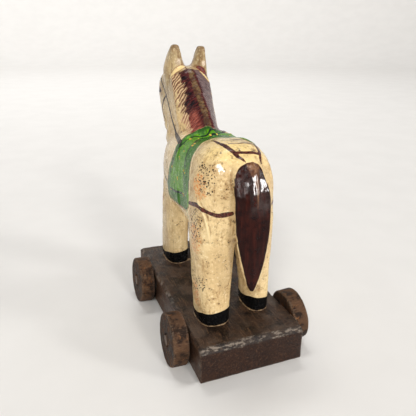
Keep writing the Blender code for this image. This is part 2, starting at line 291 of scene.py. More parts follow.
frame_left = [(-5, -9.5), (-20, -11), (-33, -15), (-45, -17), (-57, -18.5), (-78, -20.5), (-105, -19)]
frame_left += [(-119, 5), (-127, 24), (-110, 21.5), (-95, 18.4), (-71, 10.6), (-51, 2.6)]
frame_left += [(-38, -2), (-22, -2.5)]
frame_right = [(-angle, along) for angle, along in reversed(frame_left)]
frame_outline = frame_left + [(-8, -6.5), (8, -6.5)] + frame_right


def trunk_chart(outline):
    """Angles in degrees and places in mm, turned into lengths in a flat chart of the trunk."""
    angles, along = np.array(outline, float).T
    return np.stack([np.radians(angles) * TRUNK_GIRTH, along], 1)


angle = np.arctan2(skin[:, 0], skin[:, 2] - TRUNK_HEIGHT)
chart = np.stack([angle * TRUNK_GIRTH, skin[:, 1]], 1)
blanket = outline_distance(chart, trunk_chart(blanket_outline))
blanket_frame = outline_distance(chart, trunk_chart(frame_outline))
print("blanket covers", round(100 * np.mean(blanket < 0), 1), "% of the vertices")

# %% [markdown]
# ## Harness, reins and rump straps
# The harness is painted with a thin brush: reins from the head to the blanket, a strap round the
# breast, a breech strap round the haunches, and a ladder of straps that narrows to the tail. The
# points are in mm on the left side. The right side, which the photograph hides, mirrors them.

# %% Harness lines
rein = [(-13, 58, 160.5), (-14.2, 52.9, 156.7), (-13.6, 46.7, 150.4), (-13.7, 41.3, 143.6)]
rein += [(-13.7, 35.6, 137), (-13.9, 29.9, 131.5), (-14.1, 24.7, 127), (-18.3, 1.9, 126.5)]
cheek = [(-13.6, 46.7, 150.4), (-13.5, 52.8, 146.9), (-13, 59.2, 142.4), (-12, 65, 137)]
brow = [(-13, 58, 160.5), (-10, 66, 160), (-5, 71, 159.5), (0, 72, 159.5)]
nose = [(-11, 62, 131), (-12, 65, 137), (-9.5, 72, 136.5), (-4, 74.5, 136), (0, 75, 136)]
breast = [(-19.2, 28, 89.5), (-19, 33, 90.5), (-17.8, 39.7, 92), (-17, 48, 95), (-13, 58, 99)]
breast += [(-6, 64, 102), (0, 66, 103)]
breech = [(-25.8, -34, 99.4), (-25.6, -41.4, 101), (-25.1, -46.7, 102.2), (-23.3, -51.4, 100.7)]
breech += [(-20.7, -54.1, 99.5), (-16.8, -56.1, 97.9), (-12.5, -57.1, 98.3), (-8.5, -57.6, 98.8)]
ladder_left = [(-10, -29.5, 133.8), (-9, -38.9, 134), (-7.5, -45.4, 133.4), (-5, -52, 130.8)]
ladder_left += [(-3.2, -54.6, 129.1), (-1.4, -57.3, 127.4)]
ladder_right = [(10.6, -42.7, 132.5), (11.7, -46.2, 130.8), (10.3, -51.8, 129), (9.8, -55, 125)]
rungs = [
    [(-6.6, -36.5, 134.7), (0, -37, 134.9), (8, -36, 134.1)],
    [(-5.5, -43.3, 134.3), (1.4, -43.6, 134.1), (10.6, -42.7, 132.5)],
    [(-3.7, -51.7, 131.2), (2.6, -51.9, 130.6), (10, -51.4, 129.9)],
]

thin_lines = np.minimum.reduce([
    both_sides(rein, [0.75, 0.8, 0.9, 0.95, 1.0, 1.2, 1.5, 1.7]),
    both_sides(breast, [0.7, 0.8, 0.9, 0.8, 0.8, 0.8, 0.8]),
    brush_line(rungs[0], [0.4, 0.6, 0.5]),
    brush_line([(-6, -30, 134.3), (0, -29.5, 134.5), (6, -30.5, 134)], [0.15, 0.3, 0.2]),
    *(both_sides(path, [0.75] * len(path)) for path in (cheek, brow, nose)),
])
straps = np.minimum.reduce([
    both_sides(breech, [1.0, 1.3, 1.4, 1.1, 1.0, 1.2, 1.5, 1.2]),
    brush_line(ladder_left, [0.5, 1.0, 1.4, 1.3, 1.0, 0.5]),
    brush_line(ladder_right, [0.8, 1.4, 1.1, 0.6]),
    brush_line(rungs[1], [0.5, 0.65, 0.8]),
    brush_line(rungs[2], [0.8, 0.9, 0.9]),
])
print("harness vertices:", int(np.sum(thin_lines < 0)), "thin,", int(np.sum(straps < 0)), "in straps")

# %% [markdown]
# ## Mane, tail, ears and hooves
# The mane is a dark field over two facets that meet in a narrow strip. Its chart runs up the
# crest and outwards from it, so the material can pull brush strokes outwards. The tail is dark on
# its two outer facets only, and its sides keep the body's cream.

# %% Mane chart
CREST_FOOT = np.array((-5.6, 137.0))  # y and z where the mane starts at the withers
CREST_WAY = np.array((0.758, 0.652))
from_foot = skin[:, 1:] - CREST_FOOT
up_crest = from_foot @ CREST_WAY
into_neck = from_foot @ np.array((CREST_WAY[1], -CREST_WAY[0]))
from_crest = np.sign(skin[:, 0]) * np.hypot(skin[:, 0], np.maximum(into_neck, 0))
CREST_LENGTH = 49.5
dark_edge = np.interp(up_crest, [0, 9, 17, 26, 30, 34, 40, 49], [14.5, 14.8, 12.6, 13, 9.8, 7.8, 8.2, 8.6])
dark_edge = np.where(skin[:, 0] > 2, np.interp(up_crest, [0, 25, 43, 49], [17, 17.5, 16, 9.5]), dark_edge)
fringe_edge = np.interp(up_crest, [0, 10, 18, 30, 42, 49], [18.5, 18.2, 18.2, 17, 15.8, 15.2])
mane_end = np.maximum(up_crest - CREST_LENGTH, -1.5 - up_crest)
mane_core = np.maximum(np.abs(from_crest) - dark_edge, mane_end)
mane_fringe = np.maximum(np.abs(from_crest) - fringe_edge, mane_end)
print("mane vertices:", int(np.sum(mane_core < 0)), "dark,", int(np.sum(mane_fringe < 0)), "in all")

# %% Tail, hooves and ears
tail_outline = [(-0.6, 126.9), (3.3, 127.1), (6.8, 125.7), (8.1, 123), (8.7, 120), (9.5, 116.4), (10.8, 113)]
tail_outline += [(11.2, 109), (11.1, 105), (10.7, 98.5), (10.5, 92.7), (9.9, 83.8), (8.9, 76.7), (7.2, 68.9)]
tail_outline += [(4.8, 61.2), (2.7, 56), (0.8, 52.8), (-0.8, 54), (-2.2, 57.8), (-4.3, 64.7), (-6.3, 73.1)]
tail_outline += [(-7.9, 80.6), (-9.2, 89.6), (-9.7, 97.8), (-9.7, 106), (-9.3, 114), (-8.4, 119)]
tail_outline += [(-7.4, 121.9), (-5.8, 124.2), (-4.2, 125.4)]
tail = outline_distance(skin[:, [0, 2]], np.array(tail_outline, float))
outer_heights = [52, 65, 73, 80, 90, 98, 106, 110, 114, 119, 124, 127, 129]
outer_faces = [-66.4, -66.4, -66.2, -65.8, -65.3, -64.0, -62.9, -62.2, -61.2, -59.4, -57.2, -55.9, -54.6]
tail = np.maximum(tail, skin[:, 1] - np.interp(skin[:, 2], outer_heights, outer_faces))

PLANK_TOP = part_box("base")[1].z / MM
legs = {
    "hind_left": (-14.3, -42.0), "hind_right": (17.2, -37.1),
    "fore_left": (-10.4, 45.4), "fore_right": (11.0, 43.8),
}  # x and y of each leg's middle at the plank
LEG_REACH = 24  # mm from a leg's middle that surely holds all of its hoof
HOOF_HEIGHT, REAR_RISE, INNER_RISE = 6.4, 3.4, 1.1  # the paint's edge climbs to the rear and inwards
hoof = np.full(len(skin), FAR)
for middle_x, middle_y in legs.values():
    own = (np.hypot(skin[:, 0] - middle_x, skin[:, 1] - middle_y) < LEG_REACH) & (skin[:, 0] * middle_x > 0)
    towards_rear = (middle_y - skin[:, 1]) / 13.0
    towards_middle = np.sign(-middle_x) * (skin[:, 0] - middle_x) / 9.0
    top = HOOF_HEIGHT + REAR_RISE * step(towards_rear, -0.2, 0.9) + INNER_RISE * towards_middle
    hoof = np.where(own, np.minimum(hoof, skin[:, 2] - PLANK_TOP - top), hoof)

left_band = [(-13.1, 37.6, 162.8), (-11.7, 36.7, 165.4), (-9.6, 37, 167.4)]
left_band += [(-6.5, 36.9, 169.2), (-3.5, 37.7, 169.9)]
right_band = [(6.6, 33.5, 166.8), (8.8, 31.9, 164.2), (11.6, 31.2, 161)]
ear_band = brush_line(left_band, [0.6, 1.1, 1.3, 1.4, 1.0])
ear_band = np.minimum(ear_band, brush_line(right_band, [0.9, 1.3, 1.1]))
ear_mark_path = [(5.8, 36.6, 169.6), (8, 35.8, 168.6), (10.4, 35.2, 166.5), (12.6, 34.6, 162.5)]
ear_mark = brush_line(ear_mark_path, [1.0, 1.8, 2.1, 1.7])
ear_line = brush_line([(-3.8, 40, 176), (-3.3, 37, 172), (-2.5, 32.5, 168)], [0.3, 0.4, 0.55])
eye = both_sides([(-11.5, 58, 152.2), (-11.2, 60.5, 152.4), (-10.8, 63, 151.2)], [0.8, 1.6, 0.7])
eye_ring = both_sides([(-11.6, 56.6, 152.6), (-11.2, 60.5, 153.6), (-10.6, 64.6, 151.4)], [0.8, 2.0, 0.8])
lips = both_sides([(-9, 66, 127.5), (-7, 71, 127), (-2, 74, 126.5), (0, 74.3, 126.5)], [0.5, 0.7, 0.7, 0.7])
nostrils = both_sides([(-4.2, 74, 132), (-4.9, 73.5, 130.6)], [1.1, 0.7])
mouth = np.minimum(lips, nostrils)
INNER_EAR_BACK = 42.5  # mm, the ears' insides lie ahead of this
inner_ear = both_sides([(-7, 45, 180), (-7.4, 46, 175), (-7.4, 46, 168)], [0.3, 1.6, 1.2])
inner_ear = np.maximum(inner_ear, INNER_EAR_BACK - skin[:, 1])
print("hooves:", int(np.sum(hoof < 0)), "vertices, tail:", int(np.sum(tail < 0)))

# %% [markdown]
# ## Carving the finer forms
# Each cut moves the vertices a few tenths of a millimetre along the direction they face. The knife
# leaves flats: every vertex is drawn a little towards the plane of its nearest cut. The blanket
# lies a step lower than the rump, the ears have a raised band, and a crease marks the thigh.

# %% Round the upper tail
soft = spread(skin, edges, 26)
roundness = step(-tail, 0.5, 3.0) * step(skin[:, 2], 92, 100) * (1 - step(skin[:, 2], 122, 126.5))
skin = skin + (soft - skin) * roundness[:, None]
set_places(horse.data, skin)
facing = facings_of(horse.data)
lip_path = [(3.0, -57.6, 126.9), (3.2, -60, 122.5), (3.4, -62, 118.5), (3.2, -64, 114)]
lip_path += [(2.8, -65.7, 110), (2.2, -66.5, 104)]
tail_ridge = brush_line(lip_path, [0.2] * len(lip_path))

# %% Knife flats
def waves(places, size, seed, octaves=3):
    """Smooth random heights between about -1 and 1, from sums of turned sine waves."""
    draw = np.random.default_rng(seed)
    total = np.zeros(len(places))
    for octave in range(octaves):
        for _ in range(5):
            way = draw.normal(size=3)
            way /= np.linalg.norm(way)
            total += np.sin(places @ way * 2 * np.pi * 2**octave / size + draw.uniform(0, 6.3)) / 2**octave
    return total / 4


rng = np.random.default_rng(7)
KNIFE_CUTS = 420
cuts = rng.choice(len(skin), KNIFE_CUTS, replace=False)
calm = spread(facing, edges, 12)
calm /= np.linalg.norm(calm, axis=1)[:, None]
nearest = np.zeros(len(skin), int)
best = np.full(len(skin), np.inf)
for number, cut in enumerate(cuts):
    away = np.linalg.norm(skin - skin[cut], axis=1) + 6 * (1 - facing @ calm[cut])
    closer = away < best
    best[closer], nearest[closer] = away[closer], number
planes = cuts[nearest]
above = np.sum((skin - skin[planes]) * calm[planes], axis=1)
flat_pull = -0.3 * np.clip(above, -0.9, 0.9)
flat_pull = spread(flat_pull[:, None], edges, 2)[:, 0]

# %% Steps, bands and creases
crease_path = [(-25, -46.5, 106), (-24.5, -48.3, 103.8), (-23.6, -50.7, 101.6), (-22.6, -52.8, 96.9)]
crease_path += [(-21.5, -54.6, 89.7), (-21, -55, 84)]
crease = brush_line(crease_path, [0.2, 0.5, 0.6, 0.6, 0.4, 0.1])
shade_path = [(x + 0.4, y - 2.0, z - 0.4) for x, y, z in crease_path]
crease_shade = brush_line(shade_path, [0.2, 0.5, 0.7, 0.7, 0.4, 0.1])
rear_step = step(-blanket, -0.2, 0.6) * (1 - step(-blanket, 2.5, 15)) * (skin[:, 1] < 0)
rear_step *= np.interp(skin[:, 0], [1, 6, 14, 20], [-0.7, 0.6, 0.6, -0.4])
STROKE_GAP, STROKE_SLANT = 2.3, 0.42  # mm between the mane's strokes, and how far each one droops
TAIL_STROKE_GAP = 1.7  # mm
strands = np.sin((up_crest + STROKE_SLANT * np.abs(from_crest)) * 2 * np.pi / STROKE_GAP)
combed = (mane_fringe < 0) & (mane_core > -1.5)
tail_strands = np.sin((skin[:, 0] + 0.6 * np.sin(skin[:, 2] / 9)) * 2 * np.pi / TAIL_STROKE_GAP)
lumps = 0.10 * waves(skin, 14, 21) + 0.05 * waves(skin, 4.5, 22)
relief = flat_pull + rear_step + lumps
relief += 0.35 * (1 - step(ear_band, -0.6, 0.8))
relief += 0.22 * (1 - step(mane_core, -0.6, 0.6))
relief += 0.09 * strands * combed
relief += 0.05 * tail_strands * (tail < -0.5)
relief += 0.55 * (1 - step(tail_ridge, -0.3, 2.2)) * step(-tail, 0.0, 1.5)
relief += 0.10 * (1 - step(hoof, -0.4, 0.4))
relief += 0.10 * (1 - step(straps, -0.4, 0.3)) + 0.06 * (1 - step(thin_lines, -0.3, 0.3))
relief += 0.55 * (1 - step(crease, -0.5, 0.9)) - 0.35 * (1 - step(crease_shade, -0.5, 1.0))
relief += 0.5 * (1 - step(eye, -0.8, 0.4)) - 0.5 * (1 - step(mouth, -0.4, 0.5))
relief -= 0.9 * (1 - step(inner_ear, -1.6, 0.3))
relief *= step(skin[:, 2], SOLE + 0.2, SOLE + 1.5)
carved = skin + facing * relief[:, None]
carved[:, 2] = np.maximum(carved[:, 2], SOLE)
hollow = np.sum((spread(carved, edges, 6) - carved) * facing, axis=1)
set_places(horse.data, carved)
print("deepest cut", round(relief.min(), 2), "mm, highest ridge", round(relief.max(), 2), "mm")

# %% [markdown]
# ## Worn places and painted light
# Handling has rubbed the paint through in a few patches: dark specks of bare wood, and flakes of
# orange primer below them. The spots are given as places with a radius, and the material breaks
# them up. The cream is darker on the neck and behind the blanket, and painted shade darkens the
# front of the body and the forelegs. Each ear has darker edges and a painted highlight, and the
# rump's top is painted lighter and yellower, partly as painted light. The varnish is thickest on
# the right of the upper tail and in a drop on one haunch.

# %% Worn patches
worn = blobs([
    (-22, -47, 120, 7), (-20.5, -51, 118, 6.5), (-21.5, -51.5, 114.5, 6.5), (-26, -44, 91, 9.5),
    (-26, -44, 86, 8.5), (-24.8, -42, 52, 8.5), (-24.6, -47, 53, 7), (-8.6, -60, 117, 4),
    (24, -40, 110, 9), (22, 20, 96, 7), (-18, 52, 78, 8), (-6, 74, 126, 6), (12, 60, 150, 6),
    (20, -44, 60, 7), (-19, 20, 60, 6),
])
primer = blobs([
    (-23.7, -46, 114.5, 7), (-23.4, -48, 110.5, 6.5), (-26, -45, 84, 8.5), (-26, -45, 77.5, 7.5),
    (-24.8, -43, 47, 6.5), (-24.5, -43, 41, 7), (24, -40, 106, 7), (22, 20, 92, 6), (-18, 52, 73, 7),
    (-19, 20, 56, 5),
])
green_smear = blobs([(-25.2, -30, 92.5, 4), (-25.2, -31.5, 89.5, 3.2), (-25.4, -33, 86.5, 2.6)])
lime = blobs([
    (-25.8, -32.5, 101, 6.5), (-25.6, -31, 96, 5), (-9, -2.5, 132, 4), (-14, -2, 130, 4), (-3, -6, 133.5, 4),
    (8, -32, 134, 6), (-2, -29, 134.5, 5),
])
# A painted highlight on each ear.
ear_highlight = blobs([(-7.4, 37.3, 173.2, 3.6), (10.5, 36.2, 172, 3.2)])
# Darker on the neck and behind the blanket; over the front of the body and the forelegs it is painted shade.
grime_and_shade_amount = 0.75 * step(skin[:, 2], 138, 160) * (1 - step(mane_fringe, 1, -1)) + 0.3 * step(skin[:, 1], 20, 45)
grime_and_shade_amount += 0.55 * (1 - step(blanket, 1, 12)) * step(-skin[:, 1], 24, 32) * step(skin[:, 2], 96, 104)
ear_edge = step(-hollow, 0.1, 0.3) * step(skin[:, 2], 163, 168)
# The rump's top is painted lighter and yellower: a yellower ground, and painted light where light falls on
# the top.
rump_top_tint_and_light = step(skin[:, 2], 122, 132) * step(-skin[:, 1], 30, 45)
tail_lip = 1 - step(brush_line(lip_path, [4.2, 2.6, 1.3, 0.8, 0.5, 0.2]), -0.4, 0.5)

layer = 1 - 0.85 * step(-blanket, -0.5, 0.5) - 0.4 * step(-mane_core, -0.5, 0.5)
layer = layer - 0.5 * step(-hoof, -0.5, 0.5) - 0.8 * step(-thin_lines, -0.4, 0.2)
haunch_drop = step(blobs([(-14.4, -52.6, 125.2, 6.5)]), 0.05, 0.45)
low_tail = 1 - step(skin[:, 2], 96, 106)
left_of_tail = 1 - step(skin[:, 0], -3.0, 0.0)
layer += 2.2 * haunch_drop  # a thick drop on the haunch
layer += step(-tail, -0.5, 0.5) * (1.4 - 2.2 * np.maximum(low_tail, left_of_tail))

for name, values in {
    "blanket": blanket, "blanket_frame": blanket_frame, "thin_lines": thin_lines, "straps": straps,
    "mane_core": mane_core, "mane_fringe": mane_fringe, "up_crest": up_crest, "from_crest": from_crest,
    "tail": tail, "tail_lip": tail_lip, "hoof": hoof, "ear_band": ear_band, "ear_mark": ear_mark,
    "ear_line": ear_line, "ear_edge": ear_edge, "ear_highlight": ear_highlight, "inner_ear": inner_ear,
    "eye": eye, "eye_ring": eye_ring, "mouth": mouth, "crease": crease, "hollow": hollow,
    "worn": worn, "primer": primer, "green_smear": green_smear, "lime": lime, "rump_top_tint_and_light": rump_top_tint_and_light,
    "grime_and_shade": np.clip(grime_and_shade_amount, 0, 0.8), "varnish": np.clip(layer, 0.1, 2.4),
}.items():
    store(horse.data, name, values)
horse.data.shade_smooth()
print("attributes:", len(horse.data.attributes))

# %% [markdown]
# ## Writing materials as recipes
# A node material is a recipe: textures make numbers, numbers mix colours, and the shader at the end
# gives the gloss. Here a number of the recipe is a Value, and plain sums with it, such as a + b or
# a * 0.5, add the nodes that work them out. Lengths are in mm, because the object coordinates are
# multiplied by a thousand first.

# %% Helpers for nodes
class Value:
    """A number that changes over the surface. A sum with it adds a node to its recipe."""

    def __init__(self, recipe, socket):
        self.recipe, self.socket = recipe, socket

    def __add__(self, other):
        return self.recipe.math("ADD", self, other)

    def __sub__(self, other):
        return self.recipe.math("SUBTRACT", self, other)

    def __rsub__(self, other):
        return self.recipe.math("SUBTRACT", other, self)

    def __mul__(self, other):
        return self.recipe.math("MULTIPLY", self, other)

    def __truediv__(self, other):
        return self.recipe.math("DIVIDE", self, other)

    def __abs__(self):
        return self.recipe.math("ABSOLUTE", self)


def node_in(tree, kind, values=None, **settings):
    """Adds a node to a tree, with its settings, and with a value or a link for each input named."""
    node = tree.nodes.new(kind)
    for key, value in settings.items():
        setattr(node, key, value)
    for key, value in (values or {}).items():
        feed(tree, node.inputs[key], value)
    return node


def feed(tree, socket, value):
    """Links a node, a socket or a Value to an input, or sets a plain value on it."""
    if isinstance(value, Value):
        value = value.socket
    elif isinstance(value, bpy.types.Node):
        value = value.outputs[0]
    if isinstance(value, bpy.types.NodeSocket):
        tree.links.new(value, socket)
    elif value is not None:
        socket.default_value = value


# %% Material helper
def colour(red, green, blue):
    """A screen colour from 0 to 255, turned into the linear colour that Blender mixes."""
    screen = (red / 255, green / 255, blue / 255)
    return (*(c / 12.92 if c <= 0.04045 else ((c + 0.055) / 1.055) ** 2.4 for c in screen), 1)


class Recipe:
    """One material, built step by step."""

    def __init__(self, name):
        self.material = bpy.data.materials.new(name)
        self.material.use_nodes = True
        self.tree = self.material.node_tree
        self.here = self.vector("SCALE", self.node("ShaderNodeTexCoord").outputs["Object"], 1000.0)

    def node(self, kind, values=None, **settings):
        return node_in(self.tree, kind, values, **settings)

    def vector(self, operation, value, by=None):
        second = "Scale" if operation == "SCALE" else 1
        return self.node("ShaderNodeVectorMath", {0: value, second: by}, operation=operation).outputs[0]

    def length(self, value):
        """How far a place is from the origin."""
        return Value(self, self.node("ShaderNodeVectorMath", {0: value}, operation="LENGTH").outputs["Value"])

    def joined(self, x, y):
        """A place in a flat chart."""
        return self.node("ShaderNodeCombineXYZ", {0: x, 1: y}).outputs[0]

    def math(self, operation, first, second=None):
        node = self.node("ShaderNodeMath", {0: first, 1: second}, operation=operation)
        return Value(self, node.outputs[0])

    def mark(self, name):
        """A number that the vertices keep under a name."""
        return Value(self, self.node("ShaderNodeAttribute", attribute_name=name).outputs["Fac"])

    def noise(self, size, detail=3.0, roughness=0.55, stretch=None, at=None):
        """Clouds of about the given size in mm, between 0 and 1. Stretch makes them longer one way."""
        where = self.here if at is None else at
        if stretch is not None:
            where = self.vector("DIVIDE", where, stretch)
        settings = {"Vector": where, "Scale": 1 / size, "Detail": detail, "Roughness": roughness}
        return Value(self, self.node("ShaderNodeTexNoise", settings).outputs["Fac"])

    def cells(self, size):
        """Distance from the middle of the nearest cell, and three chance numbers for each cell."""
        cell = self.node("ShaderNodeTexVoronoi", {"Vector": self.here, "Scale": 1 / size})
        chances = self.node("ShaderNodeSeparateColor", {0: cell.outputs["Color"]}).outputs
        return Value(self, cell.outputs["Distance"]), [Value(self, chance) for chance in chances]

    def ramp(self, value, low, high, to_low=0.0, to_high=1.0):
        """A smooth rise from one number to another, while the value goes from low to high."""
        limits = {"From Min": low, "From Max": high, "To Min": to_low, "To Max": to_high}
        node = self.node("ShaderNodeMapRange", {"Value": value, **limits}, interpolation_type="SMOOTHSTEP")
        return Value(self, node.outputs["Result"])

    def within(self, distance, wobble=None, amount=0.3, soft=0.12):
        """1 inside a painted mark and 0 outside it, with an edge that the brush makes uneven."""
        if wobble is not None:
            distance = distance + (wobble - 0.5) * (2 * amount)
        return self.ramp(distance, -soft, soft, 1.0, 0.0)

    def mix(self, share, under, over, blend="MIX"):
        """Lays one colour over another by a share. Plain colours are screen colours."""
        under, over = (colour(*tone) if isinstance(tone, tuple) else tone for tone in (under, over))
        values = {0: share, 6: under, 7: over}
        return self.node("ShaderNodeMix", values, data_type="RGBA", blend_type=blend).outputs[2]

    def finish(self, base, roughness, height, depth, coat=0.0, coat_roughness=0.1, shine=0.5):
        """Feeds the shader: colour, roughness, bumps of a depth in mm, and a coat of varnish."""
        bump = self.node("ShaderNodeBump", {"Strength": 1.0, "Distance": depth * MM, "Height": height})
        shader = self.tree.nodes["Principled BSDF"]
        for label, value in {
            "Base Color": base, "Roughness": roughness, "Normal": bump, "Specular IOR Level": shine,
            "Coat Weight": coat, "Coat Roughness": coat_roughness,
        }.items():
            feed(self.tree, shader.inputs[label], value)
        return self.material


# %% [markdown]
# ## Paint on the horse
# The cream ground comes first: clouds of two sizes, a brown wash that has settled in the hollows,
# and pores. The colours then go over it in the painter's order, each cut out by its distance.

# %% Horse paint: ground
p = Recipe("horse_paint")
clouds = p.noise(22, 4)
mottle = p.noise(4.2, 6, 0.66)
dapple = p.noise(1.5, 5, 0.62)
fine = p.noise(0.55, 4, 0.6)
down_grain = p.noise(1.6, 5, 0.6, stretch=(1, 1, 7))
wobble = p.noise(1.5, 3)
cream = p.mix(p.ramp(clouds, 0.38, 0.62), (210, 182, 134), (228, 203, 154))
# A yellower ground and painted light on the rump's top
cream = p.mix(p.mark("rump_top_tint_and_light"), cream, (236, 208, 144))
# Darker on the neck and behind the blanket, and painted shade over the front of the body and the forelegs
grime_and_shade_share = p.mark("grime_and_shade") * p.ramp(clouds, 0.3, 0.6, 0.5, 1.0)
cream = p.mix(grime_and_shade_share, cream, (166, 148, 114))
cream = p.mix(grime_and_shade_share * p.ramp(down_grain, 0.44, 0.62), cream, (122, 98, 68))
dirty = p.ramp(p.noise(13, 3), 0.4, 0.62, 0.25, 1.0)
cream = p.mix(p.ramp(mottle, 0.46, 0.66, 0.0, 0.8) * dirty, cream, (176, 144, 98))
cream = p.mix(p.ramp(dapple, 0.52, 0.7, 0.0, 0.75) * dirty, cream, (140, 106, 66))
cream = p.mix(p.ramp(dapple, 0.32, 0.45, 0.5, 0.0), cream, (244, 228, 190))
cream = p.mix(p.ramp(down_grain, 0.5, 0.72, 0.0, 0.7) * dirty, cream, (164, 126, 80))
wash = p.ramp(p.mark("hollow") + (dapple - 0.5) * 0.25, 0.0, 0.3, 0.0, 0.8)
cream = p.mix(wash, cream, (122, 84, 44))
pore, _ = p.cells(1.5)
pores = p.ramp(pore, 0.12, 0.28, 1.0, 0.0) * p.ramp(mottle, 0.5, 0.6)
cream = p.mix(pores * 0.7, cream, (84, 58, 34))
cream = p.mix(p.mark("ear_edge") * p.ramp(dapple, 0.35, 0.55, 0.3, 0.8), cream, (112, 84, 54))

# %% Horse paint: worn specks, and painted highlights on the crease and the rump's rim
speck, (speck_luck, _, speck_size) = p.cells(1.15)
ragged = (mottle - 0.5) * 1.2
patch = p.mark("worn") + ragged
own_size = fine * 0.35 + speck_size * 0.3
dot = p.ramp(speck + own_size, 0.6, 0.74, 1.0, 0.0)
rubbed_through = p.ramp(patch, 0.05, 0.2) * dot
dark_speck = rubbed_through * p.ramp(speck_luck, 0.2, 0.25)
primer_patch = p.mark("primer") + ragged * 0.7
flakes = p.ramp(p.noise(1.3, 5, 0.7), 0.5, 0.57)
orange_speck = p.ramp(primer_patch, 0.1, 0.3) * flakes
ground = p.mix(p.ramp(primer_patch, 0.1, 0.6, 0.0, 0.3), cream, (208, 156, 98))
ground = p.mix(orange_speck * 0.75, ground, (212, 126, 54))
ground = p.mix(dark_speck, ground, (36, 28, 26))
ground = p.mix(p.ramp(p.mark("green_smear"), 0.1, 0.8, 0.0, 0.6), ground, (128, 178, 104))
# A painted highlight along the carved ridge of the thigh's crease
ground = p.mix(p.within(p.mark("crease"), wobble, 0.3, 0.5), ground, (238, 218, 170))
# A painted highlight along the rump's raised rim behind the blanket
rump_rim_highlight = abs(p.mark("blanket") - 1.6) - 0.7
ground = p.mix(p.within(rump_rim_highlight, dapple, 0.8, 0.5) * 0.6, ground, (240, 222, 176))
rim = abs(p.mark("blanket") - 0.3) - 0.6
rim = p.within(rim, dapple, 1.4, 0.3) * p.ramp(p.noise(7, 4), 0.44, 0.56, 0.15, 1.0)
ground = p.mix(rim, ground, (138, 84, 42))

# %% Horse paint: blanket
streaks = p.noise(1.0, 5, 0.65, stretch=(1, 3, 6))
field = p.mix(p.ramp(streaks, 0.35, 0.68), (66, 122, 26), (104, 158, 46))
margin = p.mix(p.ramp(streaks, 0.35, 0.68), (46, 92, 36), (82, 130, 54))
inner = p.within(p.mark("blanket_frame"), wobble, 0.4)
green = p.mix(inner, margin, field)
lime_share = p.ramp(p.mark("lime"), 0.1, 0.7, 0.0, 0.9) * p.ramp(streaks, 0.38, 0.56, 0.3, 1.0)
green = p.mix(lime_share, green, (104, 168, 12))
green = p.mix(p.ramp(mottle, 0.56, 0.7) * 0.3, green, (128, 160, 112))
green = p.mix(p.ramp(dapple, 0.56, 0.72, 0.0, 0.5), green, (40, 78, 34))
frame_line = abs(p.mark("blanket_frame")) - 0.68
line_strength = p.within(frame_line, wobble, 0.4) * p.ramp(dapple, 0.3, 0.5, 0.7, 1.0)
green = p.mix(line_strength, green, (26, 34, 38))
edge_line = abs(p.mark("blanket") + 0.5) - 0.3
green = p.mix(p.within(edge_line, wobble, 0.5, 0.4) * 0.45, green, (36, 62, 34))
covered = p.within(p.mark("blanket"), wobble, 0.35)
painted = p.mix(covered, ground, green)

# %% Horse paint: mane
outwards, upwards = p.mark("from_crest"), p.mark("up_crest")  # mm from the crest, and along it
mane_chart = p.joined(outwards, upwards)
hair = p.noise(1.1, 4, 0.6, stretch=(5, 1, 1), at=mane_chart)
sway = upwards + abs(outwards) * STROKE_SLANT + p.noise(7, 3, at=mane_chart) * 5.0
pulls = p.math("SINE", sway * (2 * math.pi / STROKE_GAP))
pull_number = p.math("FLOOR", sway / STROKE_GAP)
each_pull = p.node("ShaderNodeTexWhiteNoise", {"W": pull_number}, noise_dimensions="1D")
luck = Value(p, each_pull.outputs["Value"]) - 0.5
fringe_reach = p.mark("mane_fringe") + luck * 5.0
upper = p.ramp(upwards, 13, 24)
bare_of_blanket = 1.0 - covered
fringe_cover = p.within(fringe_reach, hair, 1.5, 0.8) * bare_of_blanket
fringe_wash = p.mix(upper, (214, 178, 142), (180, 144, 110))
painted = p.mix(fringe_cover * 0.7, painted, fringe_wash)
groove = fringe_cover * p.ramp(pulls + luck * 0.9, -0.5, 0.4) * p.ramp(upwards, 2, 20, 0.4, 1.0)
groove_tone = p.mix(upper, (152, 88, 70), (92, 50, 40))
painted = p.mix(groove * p.ramp(hair, 0.3, 0.6, 0.5, 0.9), painted, groove_tone)
# Pale cream along the ridges between the strokes: a painted highlight
ridge_highlight = fringe_cover * p.ramp(pulls, -0.95, -0.6, 0.7, 0.0)
painted = p.mix(ridge_highlight, painted, (232, 204, 160))

dark_hair = p.mix(p.ramp(hair, 0.38, 0.66), (46, 18, 22), (96, 40, 38))
black_dabs = p.ramp(upwards, 14, 20) * p.ramp(outwards, -6.5, -3.5, 1.0, 0.0)
black_dabs = black_dabs * p.ramp(p.noise(3.2, 4, 0.6, stretch=(3, 1, 1), at=mane_chart), 0.44, 0.56)
dark_hair = p.mix(black_dabs, dark_hair, (26, 16, 20))
reddish = p.mix(p.ramp(hair, 0.36, 0.64), (92, 30, 28), (168, 92, 76))
low_left = p.ramp(upwards, 13, 21, 1.0, 0.0) * p.ramp(outwards + hair * 4.0, -6, -2, 1.0, 0.0)
dark_hair = p.mix(low_left, dark_hair, reddish)
across = outwards + (p.noise(6, 4) - 0.5) * 4.0
strip = p.ramp(across, -3.9, -2.9) * p.ramp(across, -0.1, 0.6, 1.0, 0.0)
olive = p.mix(p.ramp(mottle, 0.42, 0.6), (84, 58, 42), (118, 94, 62))
olive = p.mix(p.ramp(dapple, 0.5, 0.64, 0.0, 0.8), olive, (52, 28, 26))
dark_hair = p.mix(strip * 0.9, dark_hair, olive)
